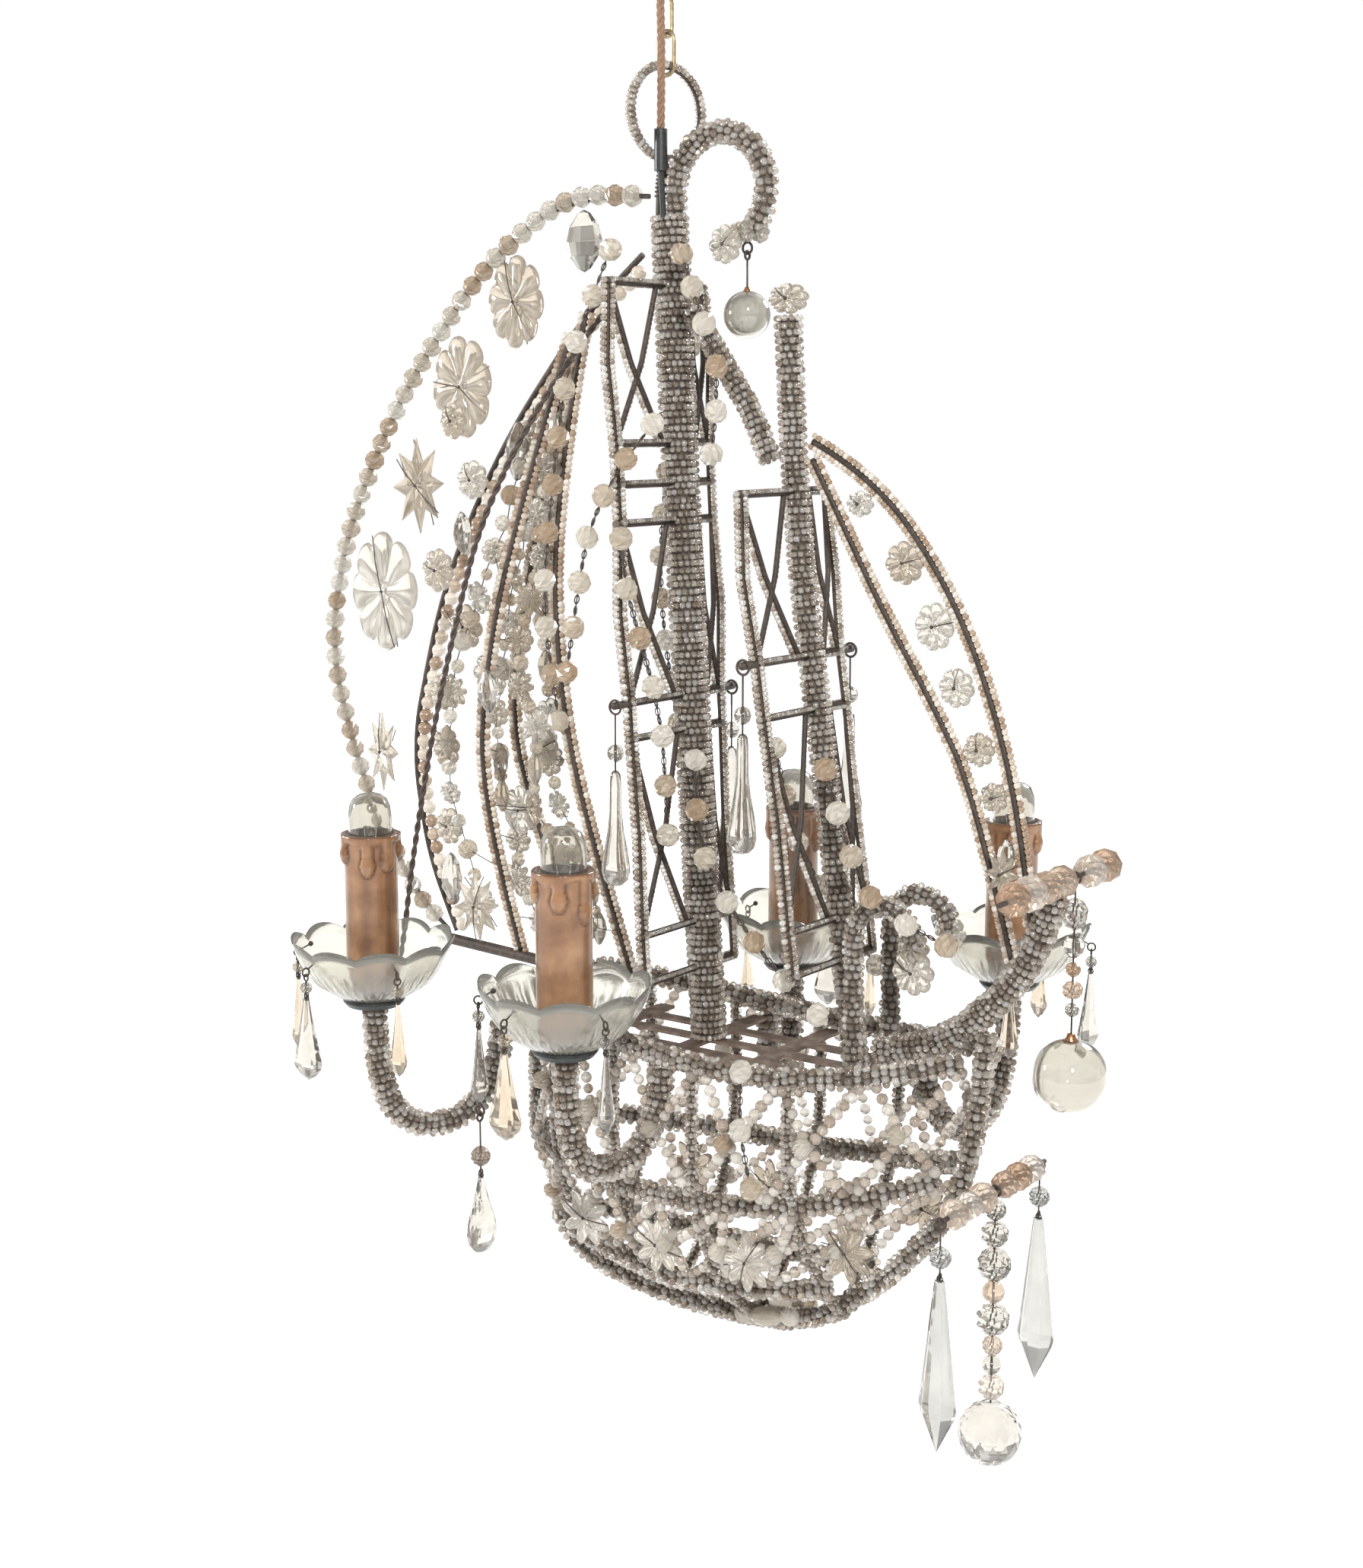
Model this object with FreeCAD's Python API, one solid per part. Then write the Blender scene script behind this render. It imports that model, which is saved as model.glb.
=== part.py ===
"""Beaded crystal chandelier in the shape of a sailing ship.

Millimetres, +Z up. The origin is the middle of the ceiling rose's flat top face.
+X points to the ship's bow, +Y across the ship. Each named node is one kind of physical piece.
"""
import FreeCAD
import Part
import math
import os

V = FreeCAD.Vector
UP = V(0, 0, 1)
ACROSS = V(0, 1, 0)

# ---- driving dimensions ----
ROSE_R, ROSE_DEPTH, HOOK_BAR_R = 32.0, 16.0, 1.6
CHAIN_LINK_H, CHAIN_LINK_W, CHAIN_WIRE = 22.0, 11.0, 2.2
RING_R, RING_TUBE_R, RING_Z = 20.5, 2.5, -103.0
MAIN_MAST_R, FORE_MAST_R = 9.5, 7.0
HULL_TUBE_R, RIB_R, ARM_R = 6.0, 3.6, 7.0
FRAME_WIRE_R, BAR_R = 1.5, 2.0
BEAD_R, SMALL_BEAD_R = 5.0, 3.6
GARLAND_BEAD_R, GARLAND_PITCH = 5.5, 22.0
GAP = 0.05
LAMPS = {"stern": (-111, -96), "near": (22, -109), "far": (18, 88), "bow": (130, 120)}
SLEEVE_TOP, SLEEVE_R, SLEEVE_WALL = -447.0, 13.4, 1.1
PAN_RIM_Z, PAN_FLOOR_Z, PAN_R, PAN_WALL = -498.0, -530.0, 41.0, 2.5
PAN_HOLE_R, HOOK_EYE_R, HOOK_WIRE_R = 1.5, 2.0, 0.45
DECK_Z = -552.0
CROSSBAR_WIRE_R, EYE_WIRE_R, EYE_PLAY, EYE_ROOM = 1.2, 0.6, 0.7, 2.8
UPPER_CROSSBAR, LOWER_CROSSBAR = (215.1, 2, -447.8), (186, 0, -597)
BOW_BALL_Y, TASSEL_Y, PRISM_Y = 17.0, 3.5, 48.0
SCROLL_EYE = (46.8, 0, -170.0)
MAIN_REACH, FORE_REACH, INSET = (62, 36), (58, 36), 12
MAIN_DROP_Z, FORE_DROP_Z, CROSS_SHIFT = -378, -355, 0.7
TEAR_DROP_LENGTH, HOLE_REACH, HOLE_Z = 46, 36.6, -507.0
DROP_ANGLES = {"stern": (200, 262, 330), "near": (205, 268, 335), "far": (30, 95, 160), "bow": (-62, 20, 95)}

# ---- centre lines ----
MAIN_MAST = [(2, 0, -152), (9, 0, -300), (26, 0, -549)]
FORE_MAST = [(70, 0, -200), (74, 0, -290), (92, 0, -404), (112, 0, -549)]
STAY = [(16, 0, -196), (35, 0, -222), (51, 0, -244), (60, 0, -264)]
PROW = [(125, 0, -540), (152, 0, -535), (184, 0, -510), (205, 0, -482), (213, 0, -455)]
KEEL = [(-62, 0, -600), (-74, 0, -640), (-66, 0, -680), (0, 0, -693), (82, 0, -689),
        (118, 0, -664), (150, 0, -632), (176, 0, -592), (181, 0, -524)]
UPPER_RAIL = [(-62, -26, -532), (-20, -50, -540), (60, -56, -547), (130, -46, -545), (176, -16, -534)]
MIDDLE_RAIL = [(-66, -22, -612), (-30, -46, -616), (50, -54, -616), (128, -42, -606), (165, -14, -592)]
LOWER_RAIL = [(-62, -10, -660), (-20, -26, -664), (50, -32, -668), (110, -20, -656)]
STERN_OUTER = [(-10, 0, -141), (-60, 0, -137), (-116, 0, -170), (-176, 0, -236), (-216, 0, -306),
               (-232, 0, -372), (-208, 0, -446), (-170, 0, -503), (-147, 0, -519)]
STERN_INNER = [(-14, 0, -168), (-51, 0, -197), (-105, 0, -260), (-146, 0, -332), (-171, 0, -420),
               (-160, 0, -480), (-141, 0, -519)]
SAIL_RIBS = {
    "outer": [(-56, -4, -206), (-72, -26, -290), (-92, -30, -370), (-100, -26, -440), (-96, 0, -523)],
    "back": [(-66, 4, -216), (-102, 20, -318), (-120, 20, -400), (-95, 16, -465), (-53, 0, -525)],
    "mast": [(-46, -4, -196), (-57, -18, -290), (-52, -20, -381), (-36, -16, -453), (-22, 0, -526)]}
JIB_OUTER = [(84, 0, -256), (118, 0, -272), (156, 0, -318), (180, 0, -368), (196, 0, -425), (202, 0, -468)]
JIB_INNER = [(84, 0, -264), (100, 0, -292), (124, 0, -334), (151, 0, -375), (172, 0, -412), (193, 0, -486)]
ARM_ROOTS = {"stern": (-76, -38, -533), "near": (36, -54, -552.6), "far": (26, 53, -551.6),
             "bow": (123, 46, -551.8)}
FLEX = [(6, -11.4, -16), (5.2, -12, -48), (5.8, -11.2, -80), (5, -11.1, -112)]
ARM_LEAD = [(-26, -16, -196), (-72, -42, -262), (-112, -42, -380), (-130, -46, -470), (-124, -62, -522),
            (-113, -79.5, -531.5)]
GARLANDS = [
    [(-6, -36, -168), (-32, -38, -222), (-42, -38, -288), (-46, -40, -334), (-38, -38, -392)],
    [(37, -61, -248), (12, -61, -274), (-2, -61, -300), (-7, -61, -326), (-14, -61, -364)],
    [(18, -60, -300), (19, -58, -324), (24, -52, -350), (31, -46, -385), (33, -44, -440)],
    [(22, -18, -170), (42, -31, -198), (54, -32, -224), (44, -25, -262)],
    [(36, -26, -406), (40, -30, -445), (57, -32, -470), (89, -36, -500), (114, -38, -516)],
    [(108, -24, -404), (120, -28, -431), (138, -34, -462), (176, -30, -476)],
    [(91, -67, -540), (91, -69, -566), (98, -69, -594)],
    [(46, 28, -406), (54, 32, -450), (74, 38, -486), (96, 44, -512)],
    [(-4, 34, -190), (-26, 36, -260), (-34, 38, -330), (-20, 36, -400)]]

# ---- flat crystals: (x, y, z, half width, half height) ----
ROSETTES = [(-94, 0, -188, 18, 23), (-131, 0, -230, 20, 26), (-189, 0, -338, 24, 32),
            (-98, -44, -247, 8, 9), (-116, -10, -277, 10, 10), (-95, 6, -290, 8, 9), (-110, -44, -321, 10, 11),
            (-124, -8, -353, 11, 12), (-77, 4, -340, 9, 10), (-140, -8, -388, 9, 10), (-139, -8, -418, 9, 11),
            (-138, -8, -460, 9, 10), (-88, -8, -446, 12, 13), (-72, -8, -412, 9, 10), (-107, -8, -376, 12, 11),
            (110, 0, -284, 7, 6), (134, 0, -310, 10, 10), (150, 0, -338, 10, 11), (162, 0, -365, 9, 9),
            (174, 0, -392, 8, 8), (182, 0, -413, 7, 7), (152, -17, -494.5, 11, 11), (41, -9.5, -166, 9, 9),
            (70, 0, -191, 11, 7)]
STARS = [(-163, 0, -281, 18, 25), (-193, 0, -426, 11.5, 22), (-86, -46, -490, 15, 18), (190, -6, -446, 9, 12)]
OVALS = [(-50, 0, -160, 12, 15), (-84, -12, -262, 8, 15), (-137, -8, -488, 8, 14), (-98, -12, -421, 5, 10),
         (-66, -2, -466, 6, 11), (189, 0, -439, 5, 8), (-122, -12, -304, 6, 11), (-80, -42, -380, 7, 11)]
HULL_STARS = [(-17, 46, -640), (31, 50, -642), (82, 48, -640), (130, 36, -628)]


def arc_radius(before, corner, after):
    """Bend radius and setback of a route's corner: 0.45 of its shorter run."""
    a, b = before - corner, after - corner
    turn = math.pi - a.getAngle(b)
    setback = 0.45 * min(a.Length, b.Length)
    return setback / math.tan(turn / 2), setback


def route(points):
    """Straight runs joined by tangent arcs."""
    pts = [V(*p) for p in points]
    edges, start = [], pts[0]
    for before, corner, after in zip(pts, pts[1:], pts[2:]):
        to_start, to_end = (before - corner).normalize(), (after - corner).normalize()
        if to_start.getAngle(to_end) > math.radians(179):
            continue
        radius, setback = arc_radius(before, corner, after)
        enter, leave = corner + to_start * setback, corner + to_end * setback
        inward = (to_start + to_end).normalize()
        half = to_start.getAngle(to_end) / 2
        crest = corner + inward * (radius / math.sin(half) - radius)
        if (enter - start).Length > 1e-4:
            edges.append(Part.LineSegment(start, enter).toShape())
        edges.append(Part.Arc(enter, crest, leave).toShape())
        start = leave
    edges.append(Part.LineSegment(start, pts[-1]).toShape())
    return Part.Wire(edges)


def tube(points, radius, inner=0):
    """A round bar, or a pipe where inner is given, along a route."""
    spine = route(points)
    first = V(*points[0])
    along = V(*points[1]) - first

    def swept(r):
        return spine.makePipeShell([Part.Wire(Part.makeCircle(r, first, along))], True, False)
    solid = swept(radius)
    return solid.cut(swept(inner)) if inner else solid


def rod(a, b, radius, trim_a=0.0, trim_b=0.0):
    """A straight round bar from a to b, shortened at its ends."""
    a, b = V(*a), V(*b)
    way = (b - a).normalize()
    a, b = a + way * trim_a, b - way * trim_b
    return Part.makeCylinder(radius, (b - a).Length, a, way)


def turned(profile, at=(0, 0, 0)):
    """A body turned about the vertical through at, from (radius, height) points."""
    ring = [V(r, 0, z) for r, z in profile] + [V(profile[0][0], 0, profile[0][1])]
    solid = Part.Face(Part.makePolygon(ring)).revolve(V(0, 0, 0), UP, 360)
    solid.translate(V(*at))
    return solid


def mirrored(points):
    return [(x, -y, z) for x, y, z in points]


def ball(at, radius):
    return Part.makeSphere(radius, V(*at))


def save(node, solids):
    shape = solids[0] if len(solids) == 1 else Part.makeCompound(solids)
    shape.exportStep("parts/%s.step" % node)


def fused(solids):
    return solids[0].multiFuse(solids[1:]).Solids


# ---- suspension ----
def chain_link(top_z, turned_round):
    """An oval link hanging below top_z: two straight sides and two half turns."""
    r = CHAIN_LINK_W / 2 - CHAIN_WIRE / 2
    half = CHAIN_LINK_H / 2 - CHAIN_WIRE / 2 - r
    arcs = [Part.Arc(V(r, 0, half), V(0, 0, half + r), V(-r, 0, half)),
            Part.LineSegment(V(-r, 0, half), V(-r, 0, -half)),
            Part.Arc(V(-r, 0, -half), V(0, 0, -half - r), V(r, 0, -half)),
            Part.LineSegment(V(r, 0, -half), V(r, 0, half))]
    spine = Part.Wire([a.toShape() for a in arcs])
    section = Part.Wire(Part.makeCircle(CHAIN_WIRE / 2, V(r, 0, half), V(0, 0, 1)))
    link = spine.makePipeShell([section], True, False)
    if turned_round:
        link.rotate(V(0, 0, 0), UP, 90)
    link.translate(V(0, 0, top_z - CHAIN_LINK_H / 2))
    return link


def ceiling_rose():
    dome = turned([(0, 0), (ROSE_R, 0), (ROSE_R, -3), (ROSE_R - 4, -8), (14, -13), (9, -ROSE_DEPTH),
                   (0, -ROSE_DEPTH)])
    flex_hole = Part.makeCylinder(2.4, 8, V(FLEX[0][0], FLEX[0][1], -ROSE_DEPTH - 2), UP)
    hook_hole = Part.makeCylinder(1.7, 8, V(0, 0, -ROSE_DEPTH - 1), UP)
    return [dome.cut(flex_hole).cut(hook_hole)]


def ceiling_hook(seat_z):
    """A hook whose wire centre is lowest at seat_z, screwed into the rose."""
    wire_r, bowl_r = HOOK_BAR_R, 5.2
    centre_z = seat_z + bowl_r
    shank_top = V(0, 0, -9.2)
    neck = V(0, 0, centre_z + bowl_r + 4)
    spine = Part.Wire([
        Part.LineSegment(shank_top, neck).toShape(),
        Part.Arc(neck, V(-1.6, 0, centre_z + bowl_r + 1.6), V(-bowl_r, 0, centre_z)).toShape(),
        Part.Arc(V(-bowl_r, 0, centre_z), V(0, 0, centre_z - bowl_r), V(bowl_r, 0, centre_z)).toShape()])
    section = Part.Wire(Part.makeCircle(wire_r, shank_top, V(0, 0, -1)))
    hook = spine.makePipeShell([section], True, False)
    hook.rotate(V(0, 0, 0), UP, 90)
    return [hook]


def suspension():
    ring_top = RING_Z + RING_R + RING_TUBE_R
    drop = CHAIN_LINK_H - 2 * CHAIN_WIRE - GAP
    lowest = ring_top - 2 * RING_TUBE_R - GAP - CHAIN_WIRE + CHAIN_LINK_H
    tops = [lowest + i * drop for i in range(3)]
    save("ceiling_rose", ceiling_rose())
    save("ceiling_hook", ceiling_hook(tops[-1] - CHAIN_WIRE - HOOK_BAR_R - GAP))
    save("suspension_chain", [chain_link(z, i % 2 == 1) for i, z in enumerate(tops)])
    save("flex_cord", [tube(FLEX, 2.0)])
    sleeve = rod((5, -11.1, -112 - GAP), (5, -11.1, -131), 3.1)
    lead_in = rod((5, -11.1, -131), (4.2, -8.2, -151.9), 1.5)
    save("flex_sleeve", [sleeve.fuse(lead_in)])
    ring = Part.makeTorus(RING_R, RING_TUBE_R, V(0, 0, RING_Z), V(-0.966, 0.259, 0))
    foot = RING_Z - RING_R
    stem = tube([(0, 0, foot - 0.5), (-3.6, 0, foot - 9.5), (-3.6, 0, -151.9)], 2.2)
    save("hanging_ring", [ring.fuse(stem)])


# ---- masts and spars ----
def top_scroll():
    cx, cz, r = 31.2, -140.0, 26.0

    def at(deg):
        return V(cx + r * math.cos(math.radians(deg)), 0, cz + r * math.sin(math.radians(deg)))
    foot = V(cx - r, 0, -151)
    spine = Part.Wire([Part.LineSegment(foot, at(180)).toShape(), Part.Arc(at(180), at(65), at(-48)).toShape()])
    bar = spine.makePipeShell([Part.Wire(Part.makeCircle(6.2, foot, UP))], True, False)
    tip = at(-48)
    wire = rod((tip.x, 0, tip.z + 2), (SCROLL_EYE[0], 0, SCROLL_EYE[2] + 5.2), 0.8)
    return [bar.fuse([wire, fixed_eye(SCROLL_EYE)])]


def crossbar(centre, half, bead_r, eyes):
    """A wire across the ship with rows of large drilled beads, and room between the rows for each eye."""
    x, y, z = centre
    solids = [rod((x, y - half, z), (x, y + half, z), CROSSBAR_WIRE_R)]
    pitch = 2 * (bead_r + GAP)
    stops = [y - half - EYE_ROOM / 2] + list(eyes) + [y + half + EYE_ROOM / 2]
    for low, high in zip(stops, stops[1:]):
        count = int((high - low - EYE_ROOM) / pitch)
        first = (low + high) / 2 - (count - 1) * pitch / 2
        for i in range(count):
            at = first + i * pitch
            hole = rod((x, at - bead_r, z), (x, at + bead_r, z), CROSSBAR_WIRE_R + 0.1)
            solids.append(ball((x, at, z), bead_r).cut(hole))
    return solids


def masts():
    save("main_mast", [tube(MAIN_MAST, MAIN_MAST_R, 4.0)])
    save("fore_mast", [tube(FORE_MAST, FORE_MAST_R, 3.0)])
    save("mast_stay", [tube(STAY, 6.0)])
    save("top_scroll", top_scroll())
    save("prow_tube", [tube(PROW, 7.5)])
    upper = crossbar(UPPER_CROSSBAR, 58, 7.5, [BOW_BALL_Y])
    lower = crossbar(LOWER_CROSSBAR, 53, 6.6, [-PRISM_Y, TASSEL_Y, PRISM_Y])
    save("bow_crossbars", upper + lower)
    yard = rod((-150, 0, -524), (-20, 0, -530), 3.0)
    save("stern_yard", [yard])


# ---- hull ----
def rails():
    return [tube(p, HULL_TUBE_R) for rail in (UPPER_RAIL, MIDDLE_RAIL, LOWER_RAIL)
            for p in (rail, mirrored(rail))]


def hull_ribs():
    """Posts between the rails, and floor bars from the lowest rails to the keel, on both sides."""
    stations = [(-40, 39, -536, 40, -615, 18, -662), (6, 52, -543, 50, -616, 29, -666),
                (56, 56, -547, 54, -616, 32, -668), (106, 50, -546, 46, -609, 21, -657)]
    bars = []
    for x, y1, z1, y2, z2, y3, z3 in stations:
        for side in (1, -1):
            top, mid, low = (x, side * y1, z1), (x, side * y2, z2), (x, side * y3, z3)
            trim = HULL_TUBE_R - 0.5
            bars.append(rod(top, mid, RIB_R, trim, trim))
            bars.append(rod(mid, low, RIB_R, trim, trim))
    return bars


def deck():
    """Metal strips across and along the hull at rail height, soldered together."""
    across = [Part.makeBox(9, 2 * half, 1.6, V(x, -half, DECK_Z)) for x, half in
              ((-32, 38), (20, 48), (64, 49), (106, 43))]
    along = [Part.makeBox(190, 7, 1.6, V(-60, y, DECK_Z)) for y in (-24, -3.5, 17)]
    return fused(across + along)


def bow_scroll(side):
    """The curled bar beside the prow."""
    cx, cz, r, y = 136.0, -482.0, 16.0, side * 17.0
    foot = V(cx - r, y, DECK_Z + 1.7)
    left, top, tip = V(cx - r, y, cz), V(cx, y, cz + r), V(cx + r, y, cz)
    spine = Part.Wire([Part.LineSegment(foot, left).toShape(), Part.Arc(left, top, tip).toShape()])
    return spine.makePipeShell([Part.Wire(Part.makeCircle(5.5, foot, UP))], True, False)


def hull():
    save("hull_rails", rails())
    save("keel", [tube(KEEL, HULL_TUBE_R)])
    save("hull_ribs", hull_ribs())
    save("deck_frame", deck())
    save("bow_scrolls", [bow_scroll(side) for side in (-1, 1)])
    transom = [tube([(-62, 24, z), (-78, 12, z - 4), (-78, -12, z - 4), (-62, -24, z)], HULL_TUBE_R - 1)
               for z in (-532, -612)]
    transom += [rod((-68, side * 29.5, -531), (-76, side * 38, -531), 3.0) for side in (-1, 1)]
    save("transom_bars", transom)


# ---- rigging ----
def mast_x(points, z):
    for (x0, _, z0), (x1, _, z1) in zip(points, points[1:]):
        if z1 <= z <= z0:
            return x0 + (x1 - x0) * (z - z0) / (z1 - z0)
    return points[-1][0]


def shroud(mast, mast_r, bars, bays, drop_z, near, far):
    """Ratlines on both sides of a mast: bars across the ship, uprights and crossed wires."""
    sides = []
    for side, reach in ((-1, near), (1, far)):
        rods = []
        for z in bars:
            x = mast_x(mast, z)
            end = reach if z == drop_z else reach - INSET + 2.3
            rods.append(rod((x, side * (mast_r - 0.2), z), (x, side * end, z), BAR_R))
        for top, bottom in zip(bars, bars[1:]):
            out = side * (reach - INSET)
            rods.append(rod((mast_x(mast, top), out, top), (mast_x(mast, bottom), out, bottom), FRAME_WIRE_R))
        for top, bottom in bays:
            out, inn = side * (reach - INSET - 1), side * (mast_r + 3.5)
            xt, xb = mast_x(mast, top), mast_x(mast, bottom)
            for a, b, shift in ((out, inn, CROSS_SHIFT), (inn, out, -CROSS_SHIFT)):
                rods.append(rod((xt + shift, a, top), (xb + shift, b, bottom), FRAME_WIRE_R))
        sides += fused(rods)
    return sides


def string_beads(points, pitch):
    """Drilled beads threaded on a wire."""
    spine = route(points)
    places = spine.discretize(Distance=pitch)[:-1]
    beads = []
    for before, here, after in zip(places, places[1:], places[2:]):
        way = (after - before).normalize()
        hole = Part.makeCylinder(1.6, 2 * BEAD_R, here - way * BEAD_R, way)
        beads.append(Part.makeSphere(BEAD_R, here).cut(hole))
    return beads


def edge_beads(points, radius, outward):
    """Beads bound along one side of a frame wire in the ship's middle plane."""
    places = route(points).discretize(Distance=2 * radius + 0.3)
    beads = []
    for before, here, after in zip(places, places[1:], places[2:]):
        side = (after - before).normalize().cross(ACROSS) * outward
        beads.append(Part.makeSphere(radius, here + side * (radius + FRAME_WIRE_R + GAP)))
    return beads


def garland():
    """Beads at even spacing, joined by wires that end on the beads."""
    beads, wires = [], []
    for points in GARLANDS:
        spine = route(points)
        count = max(3, round(spine.Length / GARLAND_PITCH) + 1)
        places = spine.discretize(Number=count)
        beads += [Part.makeSphere(GARLAND_BEAD_R, p) for p in places]
        for a, b in zip(places, places[1:]):
            wires.append(rod(tuple(a), tuple(b), 0.6, GARLAND_BEAD_R, GARLAND_BEAD_R))
    return beads, wires


def flat_crystal(at, half_w, half_h, points, depth, waist):
    """A moulded crystal lying in the ship's length, with a scalloped outline."""
    x, y, z = at
    ring = []
    for i in range(2 * points + 1):
        reach = 1.0 if i % 2 == 0 else waist
        a = math.pi * i / points + math.pi / 2
        ring.append(V(x + half_w * reach * math.cos(a), y - depth / 2, z + half_h * reach * math.sin(a)))
    return Part.Face(Part.makePolygon(ring)).extrude(V(0, depth, 0))


def crystals(rows, points, depth, waist):
    return [flat_crystal((x, y, z), w, h, points, depth, waist) for x, y, z, w, h in rows]


def rigging():
    main_bars = (-183, -257, -276, -294, -378, -395, -490, -513)
    fore_bars = (-279, -355, -380, -478, -498)
    save("main_shrouds", shroud(MAIN_MAST, MAIN_MAST_R, main_bars,
                                ((-183, -257), (-294, -378), (-395, -490)), MAIN_DROP_Z, *MAIN_REACH))
    save("fore_shrouds", shroud(FORE_MAST, FORE_MAST_R, fore_bars,
                                ((-279, -355), (-380, -478)), FORE_DROP_Z, *FORE_REACH))
    save("stern_sail_wires", [tube(STERN_OUTER, 1.2), tube(STERN_INNER, FRAME_WIRE_R)])
    save("sail_frames", [tube(p, FRAME_WIRE_R) for p in (*SAIL_RIBS.values(), JIB_OUTER, JIB_INNER)])
    save("stern_string_beads", string_beads(STERN_OUTER, 2 * BEAD_R + 0.4))
    save("sail_edge_beads", edge_beads(STERN_INNER, SMALL_BEAD_R, 1))
    beads, wires = garland()
    save("garland_beads", beads)
    save("garland_wires", wires)
    save("sail_rosettes", crystals(ROSETTES, 8, 6, 0.86))
    save("sail_stars", crystals(STARS, 8, 6, 0.5))
    save("sail_ovals", crystals(OVALS, 6, 6, 0.94))
    stars = [flat_crystal((x, side * y, z), 15, 15, 8, 5, 0.55) for x, y, z in HULL_STARS for side in (-1, 1)]
    save("hull_stars", stars)


# ---- lamps ----
def arm(name):
    """A U-shaped bar from the hull to the underside of a pan."""
    lx, ly = LAMPS[name]
    rx, ry, rz = ARM_ROOTS[name]
    low = -600 if name in ("stern", "bow") else -594

    def between(t, z):
        return (rx + (lx - rx) * t, ry + (ly - ry) * t, z)
    return tube([(lx, ly, -534), (lx, ly, -572), between(0.78, low), between(0.3, low),
                 (rx, ry, -570), (rx, ry, rz)], ARM_R)


def pan(name):
    """A pressed glass drip pan with a centre hole and small holes near its rim."""
    inner = PAN_FLOOR_Z + PAN_WALL
    profile = [(5.2, PAN_FLOOR_Z), (15, PAN_FLOOR_Z), (28, PAN_FLOOR_Z + 8), (36, PAN_FLOOR_Z + 19),
               (PAN_R, PAN_RIM_Z), (PAN_R - PAN_WALL, PAN_RIM_Z), (33.6, PAN_FLOOR_Z + 20),
               (26, PAN_FLOOR_Z + 10.5), (14, inner), (5.2, inner)]
    dish = turned(profile, (*LAMPS[name], 0))
    for at, way in drop_places(name):
        dish = dish.cut(Part.makeCylinder(PAN_HOLE_R, 14, at - way * 7, way))
    return dish


def drop_places(name):
    """Hole centres near the rim, with the outward way through each."""
    x, y = LAMPS[name]
    places = []
    for deg in DROP_ANGLES[name]:
        out = V(math.cos(math.radians(deg)), math.sin(math.radians(deg)), 0)
        places.append((V(x, y, HOLE_Z) + out * HOLE_REACH, (out * 0.85 - UP * 0.5).normalize()))
    return places


def lampholder(x, y):
    """Collar under the pan, nipple through it and the cup that takes the bulb's cap."""
    base = PAN_FLOOR_Z + PAN_WALL + GAP
    cup = [(0, -534 + GAP), (13.5, -534 + GAP), (15.5, PAN_FLOOR_Z - 1.5), (15.5, PAN_FLOOR_Z - GAP),
           (4.9, PAN_FLOOR_Z - GAP), (4.9, base), (11.8, base), (11.8, -480), (8.4, -480), (8.4, -507),
           (0, -507)]
    return turned(cup, (x, y, 0))


def candle_sleeve(x, y):
    foot = PAN_FLOOR_Z + PAN_WALL + GAP
    wall = SLEEVE_R - SLEEVE_WALL
    return turned([(wall, foot), (SLEEVE_R, foot), (SLEEVE_R, SLEEVE_TOP), (wall, SLEEVE_TOP)], (x, y, 0))


def bulb(x, y):
    profile = [(0, -506), (7, -505), (8.2, -500), (8.2, -478), (11.0, -468), (11.4, -438), (9.8, -431.5),
               (5.4, -428), (0, -427)]
    return turned(profile, (x, y, 0))


def hook_eye(at, way):
    """Centre of a pan hook's eye, and the outward direction."""
    out = V(way.x, way.y, 0).normalize()
    return at + out * 4.55 - UP * 3.2, out


def pan_hook(at, way):
    """A wire through the pan's hole: a knot inside, an eye outside."""
    centre, out = hook_eye(at, way)
    pin = rod(tuple(at - way * 3.2), tuple(at + way * 3.7), HOOK_WIRE_R - 0.07)
    eye = Part.makeTorus(HOOK_EYE_R, HOOK_WIRE_R, centre, out.cross(UP))
    return pin.fuse([Part.makeSphere(1.3, at - way * 3.2), eye])


def drop_pivot(at, way):
    """The lowest wire centre of a pan hook's eye, where the drop's own eye rests."""
    centre, out = hook_eye(at, way)
    return centre - UP * HOOK_EYE_R, out


def tear_eye():
    """The lowest wire centre of the eye under the near pan's first drop."""
    pivot, _ = drop_pivot(*drop_places("near")[0])
    return (pivot.x, pivot.y, pivot.z - TEAR_DROP_LENGTH - 7.4)


def pan_drop(at, way, body):
    """A drop with an eye linked through its pan hook's eye."""
    pivot, out = drop_pivot(at, way)
    eye_r = 2 * HOOK_WIRE_R + EYE_PLAY
    centre = pivot - UP * (EYE_PLAY - GAP)
    eye = Part.makeTorus(eye_r, HOOK_WIRE_R, centre, out)
    return eye.fuse(turned(body, (centre.x, centre.y, centre.z - eye_r - HOOK_WIRE_R + 0.3)))


def kite(length, half_w):
    """Bead and pointed crystal hung as one: small bead, neck, widening to a low belly and a point."""
    bead = 3.2
    return [(0, 0.4), (1.0, 0), (bead, -bead), (1.0, -2 * bead), (1.6, -2 * bead - 2),
            (half_w * 0.55, -length * 0.45), (half_w, -length * 0.78), (half_w * 0.5, -length * 0.93),
            (0, -length)]


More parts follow.
